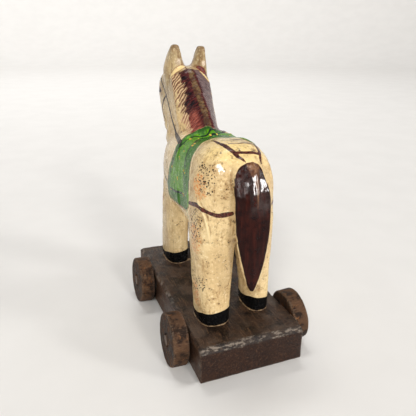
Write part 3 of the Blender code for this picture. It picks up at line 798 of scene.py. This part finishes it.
# The right facet's dark maroon greyed by a painted sheen, a painted reflection of the pale wall
right_facet_sheen = p.mix(p.ramp(hair, 0.38, 0.62), (84, 64, 66), (122, 102, 100))
right_facet_sheen = p.mix(p.ramp(p.noise(3, 4), 0.56, 0.68, 0.0, 0.6), right_facet_sheen, (60, 36, 38))
dark_hair = p.mix(p.ramp(across, 1.0, 2.2, 0.0, 0.9), dark_hair, right_facet_sheen)
chip, (chip_luck, _, _) = p.cells(4.2)
chipped = p.ramp(chip + fine * 0.1, 0.14, 0.2, 1.0, 0.0) * p.ramp(chip_luck, 0.9, 0.92)
dark_hair = p.mix(chipped, dark_hair, (214, 178, 138))
edge_of_hair = p.mark("mane_core") + pulls * 0.5 + luck * 2.6
mane_cover = p.within(edge_of_hair, hair, 2.6, 0.5) * bare_of_blanket
painted = p.mix(mane_cover, painted, dark_hair)

# %% Horse paint: harness
maroon = p.mix(p.ramp(dapple, 0.42, 0.62), (52, 24, 26), (98, 52, 42))
strap_cover = p.within(p.mark("straps"), wobble, 0.35) * p.ramp(fine, 0.3, 0.42, 0.6, 1.0)
painted = p.mix(strap_cover, painted, maroon)
painted = p.mix(p.within(p.mark("thin_lines"), wobble, 0.2) * 0.95, painted, (34, 22, 24))

# %% Horse paint: ears, tail, hooves and varnish
# A painted shadow line just outside the ear's raised band
band_shadow_line = abs(p.mark("ear_band") - 0.35) - 0.25
painted = p.mix(p.within(band_shadow_line, wobble, 0.2, 0.25) * 0.7, painted, (118, 78, 48))
band_cream = p.mix(p.ramp(dapple, 0.5, 0.7, 0.0, 0.6), (226, 200, 144), (176, 136, 86))
painted = p.mix(p.within(p.mark("ear_band"), wobble, 0.25, 0.3), painted, band_cream)
ear_maroon = p.mix(p.ramp(dapple, 0.4, 0.6), (70, 26, 26), (124, 62, 54))
painted = p.mix(p.within(p.mark("ear_mark"), wobble, 0.4), painted, ear_maroon)
painted = p.mix(p.within(p.mark("ear_line"), wobble, 0.1), painted, (92, 54, 42))
# A painted highlight on each ear
ear_painted_highlight = p.mark("ear_highlight") + (mottle - 0.5) * 0.9
ear_painted_highlight = p.ramp(ear_painted_highlight, 0.1, 0.9) * p.ramp(dapple, 0.35, 0.6, 0.9, 0.3)
painted = p.mix(ear_painted_highlight, painted, (234, 218, 198))
tail_streak = p.noise(2.2, 4, 0.55, stretch=(1, 1, 12))
tail_paint = p.mix(p.ramp(tail_streak, 0.42, 0.68), (34, 13, 10), (54, 20, 14))
tail_paint = p.mix(p.ramp(mottle, 0.45, 0.65, 0.0, 0.7), tail_paint, (20, 8, 9))
lip = p.mark("tail_lip") * p.ramp(dapple, 0.35, 0.6, 0.6, 1.0)
tail_paint = p.mix(lip, tail_paint, p.mix(p.ramp(mottle, 0.4, 0.6), (92, 58, 40), (138, 102, 74)))
painted = p.mix(p.within(p.mark("tail"), wobble, 0.12), painted, tail_paint)
hoof_black = p.mix(p.ramp(dapple, 0.4, 0.7), (9, 9, 10), (20, 19, 19))
painted = p.mix(p.within(p.mark("hoof"), p.noise(3, 2), 0.3), painted, hoof_black)
ear_pink = p.mix(p.ramp(dapple, 0.4, 0.6), (104, 52, 44), (140, 84, 66))
painted = p.mix(p.within(p.mark("inner_ear"), wobble, 0.3), painted, ear_pink)
painted = p.mix(p.within(p.mark("eye_ring"), wobble, 0.2) * 0.85, painted, (92, 46, 38))
painted = p.mix(p.within(p.mark("eye")), painted, (22, 17, 17))
painted = p.mix(p.within(p.mark("mouth"), wobble, 0.15), painted, (96, 50, 44))
glossy = p.math("MAXIMUM", p.within(p.mark("tail")), p.within(p.mark("hoof")))
rough = p.ramp(mottle, 0.35, 0.7, 0.2, 0.36) - glossy * 0.13 + rubbed_through * 0.25
calm_paint = p.math("MAXIMUM", glossy * 0.75, mane_cover * 0.6)
bumps = dapple * (1.0 - calm_paint) + fine * 0.5 + down_grain * 0.4
bumps = bumps - pores * 0.8 - rubbed_through * 1.2 + fringe_cover * pulls * -0.6 + strap_cover * 0.5
varnish_here = p.mark("varnish") * p.ramp(mottle, 0.35, 0.6, 0.4, 0.2)
horse_paint = p.finish(painted, rough, bumps, 0.2, coat=varnish_here, coat_roughness=0.12, shine=0.08)
horse.data.materials.append(horse_paint)
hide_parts("horse")
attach(horse, "toy")
print("horse paint:", len(p.tree.nodes), "nodes")

# %% [markdown]
# ## Trees that repeat or follow
# Dabs of yellow paint repeat over the blanket, a bead of glue follows each hoof, and the wheels are
# one section swept round a circle. Geometry Nodes suit all three. A tree is built once, its
# inputs have names, and the mesh that it grows is then kept as a plain mesh.

# %% Helpers for trees
LENGTH, COUNT, FINISH = "NodeSocketFloat", "NodeSocketInt", "NodeSocketMaterial"


def new_tree(name, inputs):
    """A geometry tree and its named inputs. An input is its kind and the value that it starts from."""
    tree = bpy.data.node_groups.new(name, "GeometryNodeTree")
    tree.interface.new_socket("Geometry", in_out="INPUT", socket_type="NodeSocketGeometry")
    tree.interface.new_socket("Geometry", in_out="OUTPUT", socket_type="NodeSocketGeometry")
    for label, (kind, value) in inputs.items():
        socket = tree.interface.new_socket(label, in_out="INPUT", socket_type=kind)
        if value is not None:
            socket.default_value = value
    return tree, tree.nodes.new("NodeGroupInput").outputs


def grown(name, mesh, tree, values):
    """Runs a tree on a mesh with values for its named inputs, and keeps the plain mesh."""
    obj = new_piece(name, mesh)
    modifier = obj.modifiers.new(tree.name, "NODES")
    modifier.node_group = tree
    for item in tree.interface.items_tree:
        if item.in_out == "INPUT" and item.name in values:
            modifier[item.identifier] = values[item.name]
    obj.data = settled(obj)
    obj.data.name = name
    return obj


def roughened(tree, geometry, amount, seed, scale):
    """Pushes a surface in and out by noise, up to about half the amount."""
    clouds = {"Scale": scale, "Detail": 4.0, "W": seed}
    noise = node_in(tree, "ShaderNodeTexNoise", clouds, noise_dimensions="4D")
    centred = node_in(tree, "ShaderNodeMath", {0: noise, 1: 0.5}, operation="SUBTRACT")
    scaled = node_in(tree, "ShaderNodeMath", {0: centred, 1: amount}, operation="MULTIPLY")
    normal = node_in(tree, "GeometryNodeInputNormal")
    push = node_in(tree, "ShaderNodeVectorMath", {0: normal, "Scale": scaled}, operation="SCALE")
    return node_in(tree, "GeometryNodeSetPosition", {"Geometry": geometry, "Offset": push})


def closing(tree, geometry, finish):
    """Ends a tree: instances become real, and the finish goes on."""
    real = node_in(tree, "GeometryNodeRealizeInstances", {0: geometry})
    dressed = node_in(tree, "GeometryNodeSetMaterial", {"Geometry": real, "Material": finish})
    node_in(tree, "NodeGroupOutput", {0: dressed})


# %% [markdown]
# ## Yellow dabs on the blanket
# Small touches of ochre paint stand a little proud of the green, along the dark line and as
# loose flowers in the field. Each is one point with the direction of its brush stroke, and the tree
# puts a flattened drop on it.

# %% Tree for dabs
dab_tree, given = new_tree("paint_dabs", {
    "Length": (LENGTH, 0.002), "Width": (LENGTH, 0.001), "Height": (LENGTH, 0.0005),
    "Roughness": (LENGTH, 0.0003), "Seed": (COUNT, 1), "Finish": (FINISH, None),
})
drop = node_in(dab_tree, "GeometryNodeMeshIcoSphere", {"Radius": 0.5, "Subdivisions": 3})
facing_up, pulled = (
    node_in(dab_tree, "GeometryNodeInputNamedAttribute", {"Name": name}, data_type="FLOAT_VECTOR")
    for name in ("facing", "pulled")
)
upright = node_in(dab_tree, "FunctionNodeAlignRotationToVector", {"Vector": facing_up}, axis="Z")
along = node_in(
    dab_tree, "FunctionNodeAlignRotationToVector", {"Rotation": upright, "Vector": pulled},
    axis="X", pivot_axis="Z",
)
size = node_in(dab_tree, "GeometryNodeInputNamedAttribute", {"Name": "size"}, data_type="FLOAT")
drop_size = node_in(dab_tree, "ShaderNodeCombineXYZ", {
    "X": given["Length"], "Y": given["Width"], "Z": given["Height"],
})
own_size = node_in(dab_tree, "ShaderNodeVectorMath", {0: drop_size, "Scale": size}, operation="SCALE")
drops = node_in(dab_tree, "GeometryNodeInstanceOnPoints", {
    "Points": given["Geometry"], "Instance": drop, "Rotation": along, "Scale": own_size,
})
loose_drops = node_in(dab_tree, "GeometryNodeRealizeInstances", {0: drops})
rough_drops = roughened(dab_tree, loose_drops, given["Roughness"], given["Seed"], 900.0)
closing(dab_tree, rough_drops, given["Finish"])

# %% Ochre paint
p = Recipe("ochre_paint")
thick = p.noise(0.8, 3)
tone = p.noise(5, 2)
ochre = p.mix(p.ramp(tone, 0.4, 0.6), (238, 194, 72), (220, 166, 50))
ochre = p.mix(p.ramp(thick, 0.5, 0.7, 0.0, 0.6), ochre, (168, 130, 40))
ochre_paint = p.finish(ochre, p.ramp(thick, 0.3, 0.7, 0.3, 0.5), thick, 0.1, coat=0.15, shine=0.4)

# %% Place the dabs
touches = [
    # x, y, z, then how steep the stroke is, and its size
    (-13.9, -3.2, 130.3, 40, 1.5), (-2.4, -8.6, 132.6, 0, 1.2), (-15.4, -16.2, 129.6, 45, 1.2),
    (-16.9, -16.6, 128.6, 20, 1.3), (-20.7, 14.2, 107.8, 80, 1.2), (-23.8, -19.3, 114.5, 80, 0.9),
    (-23.7, -22.0, 113.6, 80, 0.8), (-20.1, 19.8, 89.8, 10, 1.1), (-22.7, -13.9, 97.9, 20, 1.1),
    (-23.2, -16.0, 97.3, 20, 1.0), (-21.2, -3.2, 118.9, 10, 1.1), (-21.5, -4.8, 117.9, 60, 0.9),
    (-21.7, -0.6, 104.4, 60, 1.2), (-21.7, -1.2, 103.5, 110, 0.9), (-21.9, 8.3, 98.5, 60, 0.7),
    (-20.3, -10.2, 124.0, 60, 0.7), (-18.6, -6.0, 126.4, 20, 0.6), (-10.5, -9.8, 131.3, 10, 0.8),
]
spots, turns, sizes_of_touches = [], [], []
for x, y, z, steepness, size_of_touch in touches:
    for side in (1, -1):
        spots.append((x * side, y, z))
        turns.append(math.radians(steepness))
        sizes_of_touches.append(size_of_touch)
final_surface = BVHTree.FromPolygons(carved.tolist(), [tuple(face.vertices) for face in horse.data.polygons])
hits = [final_surface.find_nearest(Vector(spot)) for spot in spots]
dab_mesh = bpy.data.meshes.new("dabs")
dab_mesh.from_pydata([tuple(hit[0] * MM) for hit in hits], [], [])
for label, vectors in {
    "facing": [hit[1] for hit in hits],
    "pulled": [Vector((0, -math.cos(turn), math.sin(turn))) for turn in turns],
}.items():
    made = dab_mesh.attributes.new(label, "FLOAT_VECTOR", "POINT")
    made.data.foreach_set("vector", np.array(vectors, np.float32).ravel())
store(dab_mesh, "size", sizes_of_touches)
dabs = grown("ochre_dabs", dab_mesh, dab_tree, {
    "Length": 1.75 * MM, "Width": 0.95 * MM, "Height": 0.36 * MM, "Roughness": 0.3 * MM,
    "Finish": ochre_paint,
})
dabs.data.shade_smooth()
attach(dabs, "toy")
print("dabs:", len(spots), "with", len(dabs.data.polygons), "faces")

# %% [markdown]
# ## Glue round the hooves
# The hooves are glued down, and the glue that was squeezed out dried in a thin pale bead. It follows
# the outline of each sole, so a tree sweeps a small circle of uneven thickness along it.

# %% Tree for a bead
bead_tree, given = new_tree("glue_bead", {
    "Radius": (LENGTH, 0.0005), "Unevenness": (LENGTH, 1.2), "Roughness": (LENGTH, 0.0003),
    "Seed": (COUNT, 1), "Finish": (FINISH, None),
})
path = node_in(bead_tree, "GeometryNodeMeshToCurve", {0: given["Geometry"]})
even = node_in(bead_tree, "GeometryNodeResampleCurve", {"Curve": path, "Count": 160})
clouds = {"Scale": 260.0, "Detail": 3.0, "W": given["Seed"]}
swell = node_in(bead_tree, "ShaderNodeTexNoise", clouds, noise_dimensions="4D")
centred = node_in(bead_tree, "ShaderNodeMath", {0: swell, 1: 0.5}, operation="SUBTRACT")
spreading = {0: centred, 1: given["Unevenness"], 2: 0.5}
uneven = node_in(bead_tree, "ShaderNodeMath", spreading, operation="MULTIPLY_ADD")
own_radius = node_in(bead_tree, "ShaderNodeMath", {0: uneven, 1: given["Radius"]}, operation="MULTIPLY")
doubled = node_in(bead_tree, "ShaderNodeMath", {0: own_radius, 1: 2.0}, operation="MULTIPLY")
thick_path = node_in(bead_tree, "GeometryNodeSetCurveRadius", {"Curve": even, "Radius": doubled})
section = node_in(bead_tree, "GeometryNodeCurvePrimitiveCircle", {"Resolution": 10, "Radius": 1.0})
bead = node_in(bead_tree, "GeometryNodeCurveToMesh", {
    "Curve": thick_path, "Profile Curve": section, "Scale": doubled,
})
closing(bead_tree, roughened(bead_tree, bead, given["Roughness"], given["Seed"], 700.0), given["Finish"])

# %% Dried glue
p = Recipe("dried_glue")
dirt = p.noise(2.5, 4)
crust = p.noise(0.7, 3)
glue = p.mix(p.ramp(dirt, 0.4, 0.6), (150, 124, 90), (86, 64, 46))
glue = p.mix(p.ramp(crust, 0.5, 0.7, 0.0, 0.6), glue, (70, 50, 38))
dried_glue = p.finish(glue, p.ramp(crust, 0.3, 0.7, 0.45, 0.65), crust, 0.2, shine=0.35)

# %% A bead along each sole
GLUE_BINS, SOLE_REACH = 40, 22  # directions round a hoof, and mm from its middle past its sole
sole = carved[carved[:, 2] < SOLE + 0.6]
for seed, (leg, (middle_x, middle_y)) in enumerate(legs.items(), start=31):
    offset = sole[:, :2] - np.array((middle_x, middle_y))
    reach = np.hypot(*offset.T)
    own = reach < SOLE_REACH
    bearing = np.arctan2(offset[own, 1], offset[own, 0])
    bins = np.floor((bearing + math.pi) / (2 * math.pi) * GLUE_BINS).astype(int) % GLUE_BINS
    far = np.array([reach[own][bins == number].max(initial=0) for number in range(GLUE_BINS)])
    bearings = (np.arange(GLUE_BINS) + 0.5) / GLUE_BINS * 2 * math.pi - math.pi
    ring = np.stack([middle_x + far * np.cos(bearings), middle_y + far * np.sin(bearings)], 1)
    for _ in range(3):
        ring = (np.roll(ring, 1, 0) + 2 * ring + np.roll(ring, -1, 0)) / 4
    bead_mesh = bpy.data.meshes.new(f"sole_{leg}")
    bead_points = [(x * MM, y * MM, (PLANK_TOP + 0.12) * MM) for x, y in ring]
    bead_mesh.from_pydata(bead_points, [(n, (n + 1) % GLUE_BINS) for n in range(GLUE_BINS)], [])
    bead_piece = grown(f"glue_{leg}", bead_mesh, bead_tree, {
        "Radius": 0.5 * MM, "Roughness": 0.4 * MM, "Seed": seed, "Finish": dried_glue,
    })
    bead_piece.data.shade_smooth()
    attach(bead_piece, "toy")
    print(bead_piece.name, len(bead_piece.data.polygons), "faces")

# %% [markdown]
# ## The plank
# A thick offcut, stained dark, with knife-cut top edges that years of handling have rubbed pale.
# Its bevels also carry a painted sheen and painted highlights, and its top a patchy grey of dust and painted
# sheen.
# Even faces again make room for chips and saw waves along the edges.

# %% Rebuild the plank
PLANK_GRAIN = 0.85
plank = rebuilt("base", "stained_plank", PLANK_GRAIN)
plank_edges = edges_of(plank.data)
board = rubbed(places_of(plank.data), plank_edges, 4)
low, high = (np.array(corner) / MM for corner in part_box("base"))
print("plank, mm:", (high - low).round(1))

side_gaps = np.stack([board - low, high - board], 2).min(2)
nearest_sides = np.sort(side_gaps, axis=1)
to_edge = nearest_sides[:, 1]  # mm from the nearest corner line between two faces
plank_facing = facings_of(plank.data)
chips = step(waves(board, 9, 3), 0.25, 0.9) * (1 - step(to_edge, 0.5, 3.2)) * step(board[:, 2], 9, 14)
dents = 0.12 * waves(board, 30, 5, 4) + 0.05 * waves(board, 5, 8)
board = board + plank_facing * (dents - 0.55 * chips)[:, None]
board[:, 2] = np.maximum(board[:, 2], low[2] - 0.1)
set_places(plank.data, board)
rear_bevel = np.hypot(board[:, 1] - (low[1] + 1.4), board[:, 2] - (high[2] - 1.4)) - 2.3
left_bevel = np.hypot(board[:, 0] - (low[0] + 0.9), board[:, 2] - (high[2] - 0.9)) - 1.4
for name, values in {
    "to_edge": to_edge, "rear_bevel": rear_bevel, "left_bevel": left_bevel,
    "upward": plank_facing[:, 2], "end_grain": np.abs(plank_facing[:, 1]),
}.items():
    store(plank.data, name, values)

# %% Stain on the plank
p = Recipe("plank_stain")
blotch = p.noise(9, 5, 0.62)
fibre = p.noise(1.3, 6, 0.65, stretch=(1, 9, 1))
grit = p.noise(0.8, 4, 0.6)
stain = p.mix(p.ramp(blotch, 0.42, 0.58), (20, 14, 11), (58, 42, 32))
stain = p.mix(p.ramp(p.mark("upward"), 0.2, 0.6, 0.6, 0.0), stain, (56, 32, 19))
stain = p.mix(p.ramp(fibre, 0.5, 0.7, 0.0, 0.8), stain, (100, 74, 54))
stain = p.mix(p.ramp(grit, 0.55, 0.7, 0.0, 0.7), stain, (120, 90, 66))
fleck = p.noise(0.5, 3, stretch=(3, 1, 1))
stain = p.mix(p.ramp(fleck, 0.62, 0.72, 0.0, 0.55), stain, (140, 116, 94))
stain = p.mix(p.ramp(grit, 0.3, 0.46, 0.85, 0.0), stain, (18, 13, 10))
stain = p.mix(p.ramp(p.mark("end_grain"), 0.75, 0.95, 0.0, 0.7), stain, (150, 112, 88), "MULTIPLY")
# The tops are greyer in patches: dust, and a painted sheen.
dust_and_sheen = p.ramp(p.mark("upward"), 0.6, 0.95) * p.ramp(p.noise(10, 5), 0.45, 0.65, 0.0, 0.5)
stain = p.mix(dust_and_sheen, stain, (96, 80, 68))
# Pale streaks on the bevels: partly wood rubbed bare, partly a painted highlight and sheen on the glossy
# bevels.
rear_rub_and_shine = p.mark("rear_bevel") + (grit - 0.5) * 5.0
scratches = p.noise(1.5, 5, 0.75, stretch=(3, 1, 1))
rear_bevel_wear_and_highlight = p.ramp(rear_rub_and_shine, -0.8, 0.8, 1.0, 0.0) * p.ramp(scratches, 0.5, 0.6, 0.0, 0.95)
left_rub_and_shine = p.mark("left_bevel") + (grit - 0.5) * 4.0
left_bevel_wear_and_sheen = p.ramp(left_rub_and_shine, -0.8, 0.6, 1.0, 0.0) * p.ramp(p.noise(6, 4), 0.48, 0.62, 0.0, 0.7)
bare_rim = p.ramp(p.mark("to_edge"), 0.2, 1.2, 1.0, 0.0) * p.ramp(grit, 0.5, 0.62, 0.0, 0.6)
bare_and_highlight = p.math("MAXIMUM", p.math("MAXIMUM", rear_bevel_wear_and_highlight, left_bevel_wear_and_sheen), bare_rim)
# The rear bevel painted grey: a painted sheen
stain = p.mix(p.ramp(p.mark("rear_bevel"), -0.6, 0.6, 0.6, 0.0), stain, (44, 40, 38))
stain = p.mix(bare_and_highlight * 0.85, stain, (134, 122, 110))
rough = p.ramp(blotch, 0.3, 0.7, 0.34, 0.6)
texture = fibre * 0.7 + grit * 0.6
plank_stain = p.finish(stain, rough, texture, 0.5, coat=0.05, coat_roughness=0.3, shine=0.2)
plank.data.materials.append(plank_stain)
plank.data.shade_smooth()
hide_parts("base")
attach(plank, "toy")

# %% [markdown]
# ## Wheels and dowels
# A wheel is a disc sawn from a stick, with a hole through it: a rectangle swept round a circle.
# Geometry Nodes sweep it, roughen it and keep each point's place in the wheel, which the material
# reads for the growth rings. One tree makes all four wheels, each with its own seed.

# %% Tree for a sawn wheel
wheel_tree, given = new_tree("sawn_wheel", {
    "Radius": (LENGTH, 0.0165), "Bore": (LENGTH, 0.0041), "Thickness": (LENGTH, 0.01),
    "Corner": (LENGTH, 0.0012), "Roughness": (LENGTH, 0.0003), "Seed": (COUNT, 1),
    "Finish": (FINISH, None),
})
radius_and_bore = {0: given["Radius"], 1: given["Bore"]}
both = node_in(wheel_tree, "ShaderNodeMath", radius_and_bore, operation="ADD")
middle = node_in(wheel_tree, "ShaderNodeMath", {0: both, 1: 0.5}, operation="MULTIPLY")
band = node_in(wheel_tree, "ShaderNodeMath", radius_and_bore, operation="SUBTRACT")
circle = node_in(wheel_tree, "GeometryNodeCurvePrimitiveCircle", {"Resolution": 150, "Radius": middle})
section = node_in(wheel_tree, "GeometryNodeCurvePrimitiveQuadrilateral", {
    "Width": band, "Height": given["Thickness"],
})
rounding = {"Curve": section, "Radius": given["Corner"], "Count": 4}
rounded = node_in(wheel_tree, "GeometryNodeFilletCurve", rounding, mode="POLY")
even = node_in(wheel_tree, "GeometryNodeResampleCurve", {"Curve": rounded, "Count": 72})
sweep = node_in(wheel_tree, "GeometryNodeCurveToMesh", {"Curve": circle, "Profile Curve": even})
place = node_in(wheel_tree, "GeometryNodeInputPosition")
kept = node_in(
    wheel_tree, "GeometryNodeStoreNamedAttribute", {"Geometry": sweep, "Name": "in_wheel", "Value": place},
    data_type="FLOAT_VECTOR", domain="POINT",
)
rough_wheel = roughened(wheel_tree, kept, given["Roughness"], given["Seed"], 260.0)
closing(wheel_tree, rough_wheel, given["Finish"])

# %% Wood of the wheels
p = Recipe("wheel_wood")
in_metres = p.node("ShaderNodeAttribute", attribute_name="in_wheel").outputs["Vector"]
inside = p.vector("SCALE", in_metres, 1000.0)
across_wheel, up_wheel, through_wheel = p.node("ShaderNodeSeparateXYZ", {0: inside}).outputs
on_face = p.joined(across_wheel, up_wheel)
PITH = (2.5, -1.5, 0.0)  # mm, how far the rings' middle lies off the axis
from_pith = p.length(p.vector("ADD", on_face, PITH))
from_axis = p.length(on_face)
warp = p.noise(6, 3, at=inside)
RING_GAP = 1.5  # mm
rings = p.math("SINE", from_pith * (2 * math.pi / RING_GAP) + warp * 9)
blotch = p.noise(5, 4, at=inside)
grit = p.noise(0.6, 4, at=inside)
saw = p.noise(0.7, 3, stretch=(0.8, 12, 6), at=inside)
wood = p.mix(p.ramp(blotch, 0.4, 0.62), (32, 21, 15), (68, 46, 33))
wood = p.mix(p.ramp(rings, 0.1, 1.0, 0.0, 0.45), wood, (30, 21, 17))
wood = p.mix(p.ramp(saw, 0.5, 0.72, 0.0, 0.6), wood, (112, 86, 66))
wood = p.mix(p.ramp(grit, 0.28, 0.42, 0.6, 0.0), wood, (24, 17, 14))
orange = p.ramp(p.noise(3.4, 5, 0.7, at=inside), 0.56, 0.68, 0.0, 0.7) * p.ramp(grit, 0.42, 0.58)
wood = p.mix(orange, wood, (150, 96, 50))
outer_edge = from_axis + abs(Value(p, through_wheel))
wood = p.mix(p.ramp(outer_edge, 19.6, 21.0) * p.ramp(grit, 0.46, 0.6, 0.0, 0.6), wood, (122, 104, 88))
# The treads painted lighter and browner: painted light on them
tread_painted_light = p.ramp(from_axis, 15.4, 16.1, 0.0, 0.28)
wood = p.mix(tread_painted_light * p.ramp(blotch, 0.42, 0.58, 0.1, 1.0), wood, (118, 88, 64))
texture = saw * 0.9 + (grit + rings * 0.15)
wheel_wood = p.finish(wood, p.ramp(blotch, 0.3, 0.7, 0.5, 0.75), texture, 0.6, shine=0.14)

# %% Four wheels
WHEEL_RADIUS, WHEEL_BORE, WHEEL_THICKNESS, WHEEL_CORNER = 16.5, 4.1, 10.0, 1.1
ends, sides = ("front", "rear"), ("left", "right")
wheel_of = {joint["child"]: joint for joint in frame["joints"]}
bodies = {f"wheel_{end[0]}{side[0]}": f"wheel_{end}_{side}" for end in ends for side in sides}
for seed, (body, node) in enumerate(bodies.items(), start=11):
    disc = grown(f"sawn_{node}", bpy.data.meshes.new(node), wheel_tree, {
        "Radius": WHEEL_RADIUS * MM, "Bore": WHEEL_BORE * MM, "Thickness": WHEEL_THICKNESS * MM,
        "Corner": WHEEL_CORNER * MM, "Roughness": 0.5 * MM, "Seed": seed, "Finish": wheel_wood,
    })
    axis, centre = Vector(wheel_of[body]["axis"]).normalized(), Vector(wheel_of[body]["pos_m"])
    turn = Vector((0, 0, 1)).rotation_difference(axis).to_matrix().to_4x4()
    spin = Matrix.Rotation(math.radians(70 * seed), 4, "Z")
    disc.data.transform(Matrix.Translation(centre) @ turn @ spin)
    disc.data.shade_smooth()
    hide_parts(node)
    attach(disc, body)
    own_box = np.stack([places_of(disc.data).min(0), places_of(disc.data).max(0)])
    gap = np.abs(own_box - np.array(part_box(node)) / MM).max()
    print(node, "differs from its solid's box by at most", round(gap, 2), "mm")

# %% Dowels
p = Recipe("dowel_wood")
grit = p.noise(0.7, 4)
blotch = p.noise(4, 3)
wood = p.mix(p.ramp(blotch, 0.35, 0.7), (70, 52, 40), (112, 84, 60))
wood = p.mix(p.ramp(grit, 0.5, 0.7, 0.0, 0.5), wood, (52, 38, 32))
dowel_wood = p.finish(wood, p.ramp(blotch, 0.3, 0.7, 0.5, 0.7), grit, 0.25)
for node in ("axle_front", "axle_rear"):
    frame["nodes"][node].data.materials.clear()
    frame["nodes"][node].data.materials.append(dowel_wood)

# %% [markdown]
# ## Floor and light
# A plain pale floor that sweeps up into a round wall, so every view has the same quiet background.
# The key lamp stands to the left behind the camera, and two weaker ones straight behind it and to
# the right: their reflections are the highlights in the varnish. A fourth lights the wall. The sky
# is dim, because a bright one would lay a grey veil on the dark paint.

# %% Floor
p = Recipe("pale_floor")
floor_tone = p.mix(p.ramp(p.noise(60, 3), 0.3, 0.7), (224, 222, 219), (227, 225, 222))
floor_paint = p.finish(floor_tone, 0.7, p.noise(2, 2), 0.02, shine=0.2)
FLAT_RADIUS, SWEEP_RADIUS, WALL_HEIGHT = 2.4, 1.0, 2.6  # metres
SWEEP_STEPS, SIDES = 12, 96
profile = [(0.3, 0.0), (1.2, 0.0), (FLAT_RADIUS, 0.0)]
for number in range(1, SWEEP_STEPS + 1):
    bend = math.radians(90 * number / SWEEP_STEPS)
    profile.append((FLAT_RADIUS + SWEEP_RADIUS * math.sin(bend), SWEEP_RADIUS * (1 - math.cos(bend))))
profile.append((FLAT_RADIUS + SWEEP_RADIUS, WALL_HEIGHT))
bm = bmesh.new()
hoops = []
for reach, rise in profile:
    bearings = [2 * math.pi * number / SIDES for number in range(SIDES)]
    hoops.append([bm.verts.new((reach * math.cos(b), reach * math.sin(b), rise)) for b in bearings])
bm.faces.new(hoops[0])
for lower, upper_hoop in zip(hoops, hoops[1:]):
    for number in range(SIDES):
        after = (number + 1) % SIDES
        bm.faces.new((lower[number], upper_hoop[number], upper_hoop[after], lower[after]))
bmesh.ops.recalc_face_normals(bm, faces=bm.faces)
floor_mesh = bpy.data.meshes.new("floor")
bm.to_mesh(floor_mesh)
bm.free()
floor_mesh.materials.append(floor_paint)
floor_mesh.shade_smooth()
floor = new_piece("floor", floor_mesh)

# %% Lamps
def lamp(name, place, target, size, watts, tint=(1, 1, 1)):
    """A square soft lamp that faces a target."""
    light = bpy.data.lights.new(name, "AREA")
    light.energy, light.size, light.color = watts, size, tint
    obj = bpy.data.objects.new(name, light)
    obj.location = place
    obj.rotation_euler = (Vector(target) - Vector(place)).to_track_quat("-Z", "Y").to_euler()
    bpy.context.scene.collection.objects.link(obj)


WARM_WHITE = (1.0, 0.98, 0.96)
TOY_MIDDLE = (0, 0, 0.09)
lamp("key", (-1.2, -1.9, 1.46), TOY_MIDDLE, 0.5, 35, (1.0, 0.98, 0.95))  # metres and watts
lamp("back", (0.3, -2.1, 1.1), TOY_MIDDLE, 0.35, 18, WARM_WHITE)
lamp("side", (1.9, -1.7, 0.95), TOY_MIDDLE, 0.45, 26, WARM_WHITE)
lamp("wall", (0, 0.9, 2.4), (0, 3.2, 0.6), 1.2, 61)
world = bpy.data.worlds.new("studio")
world.use_nodes = True
sky = world.node_tree.nodes["Background"].inputs
sky["Color"].default_value = colour(236, 238, 241)
sky["Strength"].default_value = 0.2
bpy.context.scene.world = world
bpy.context.scene.view_settings.view_transform = "Standard"
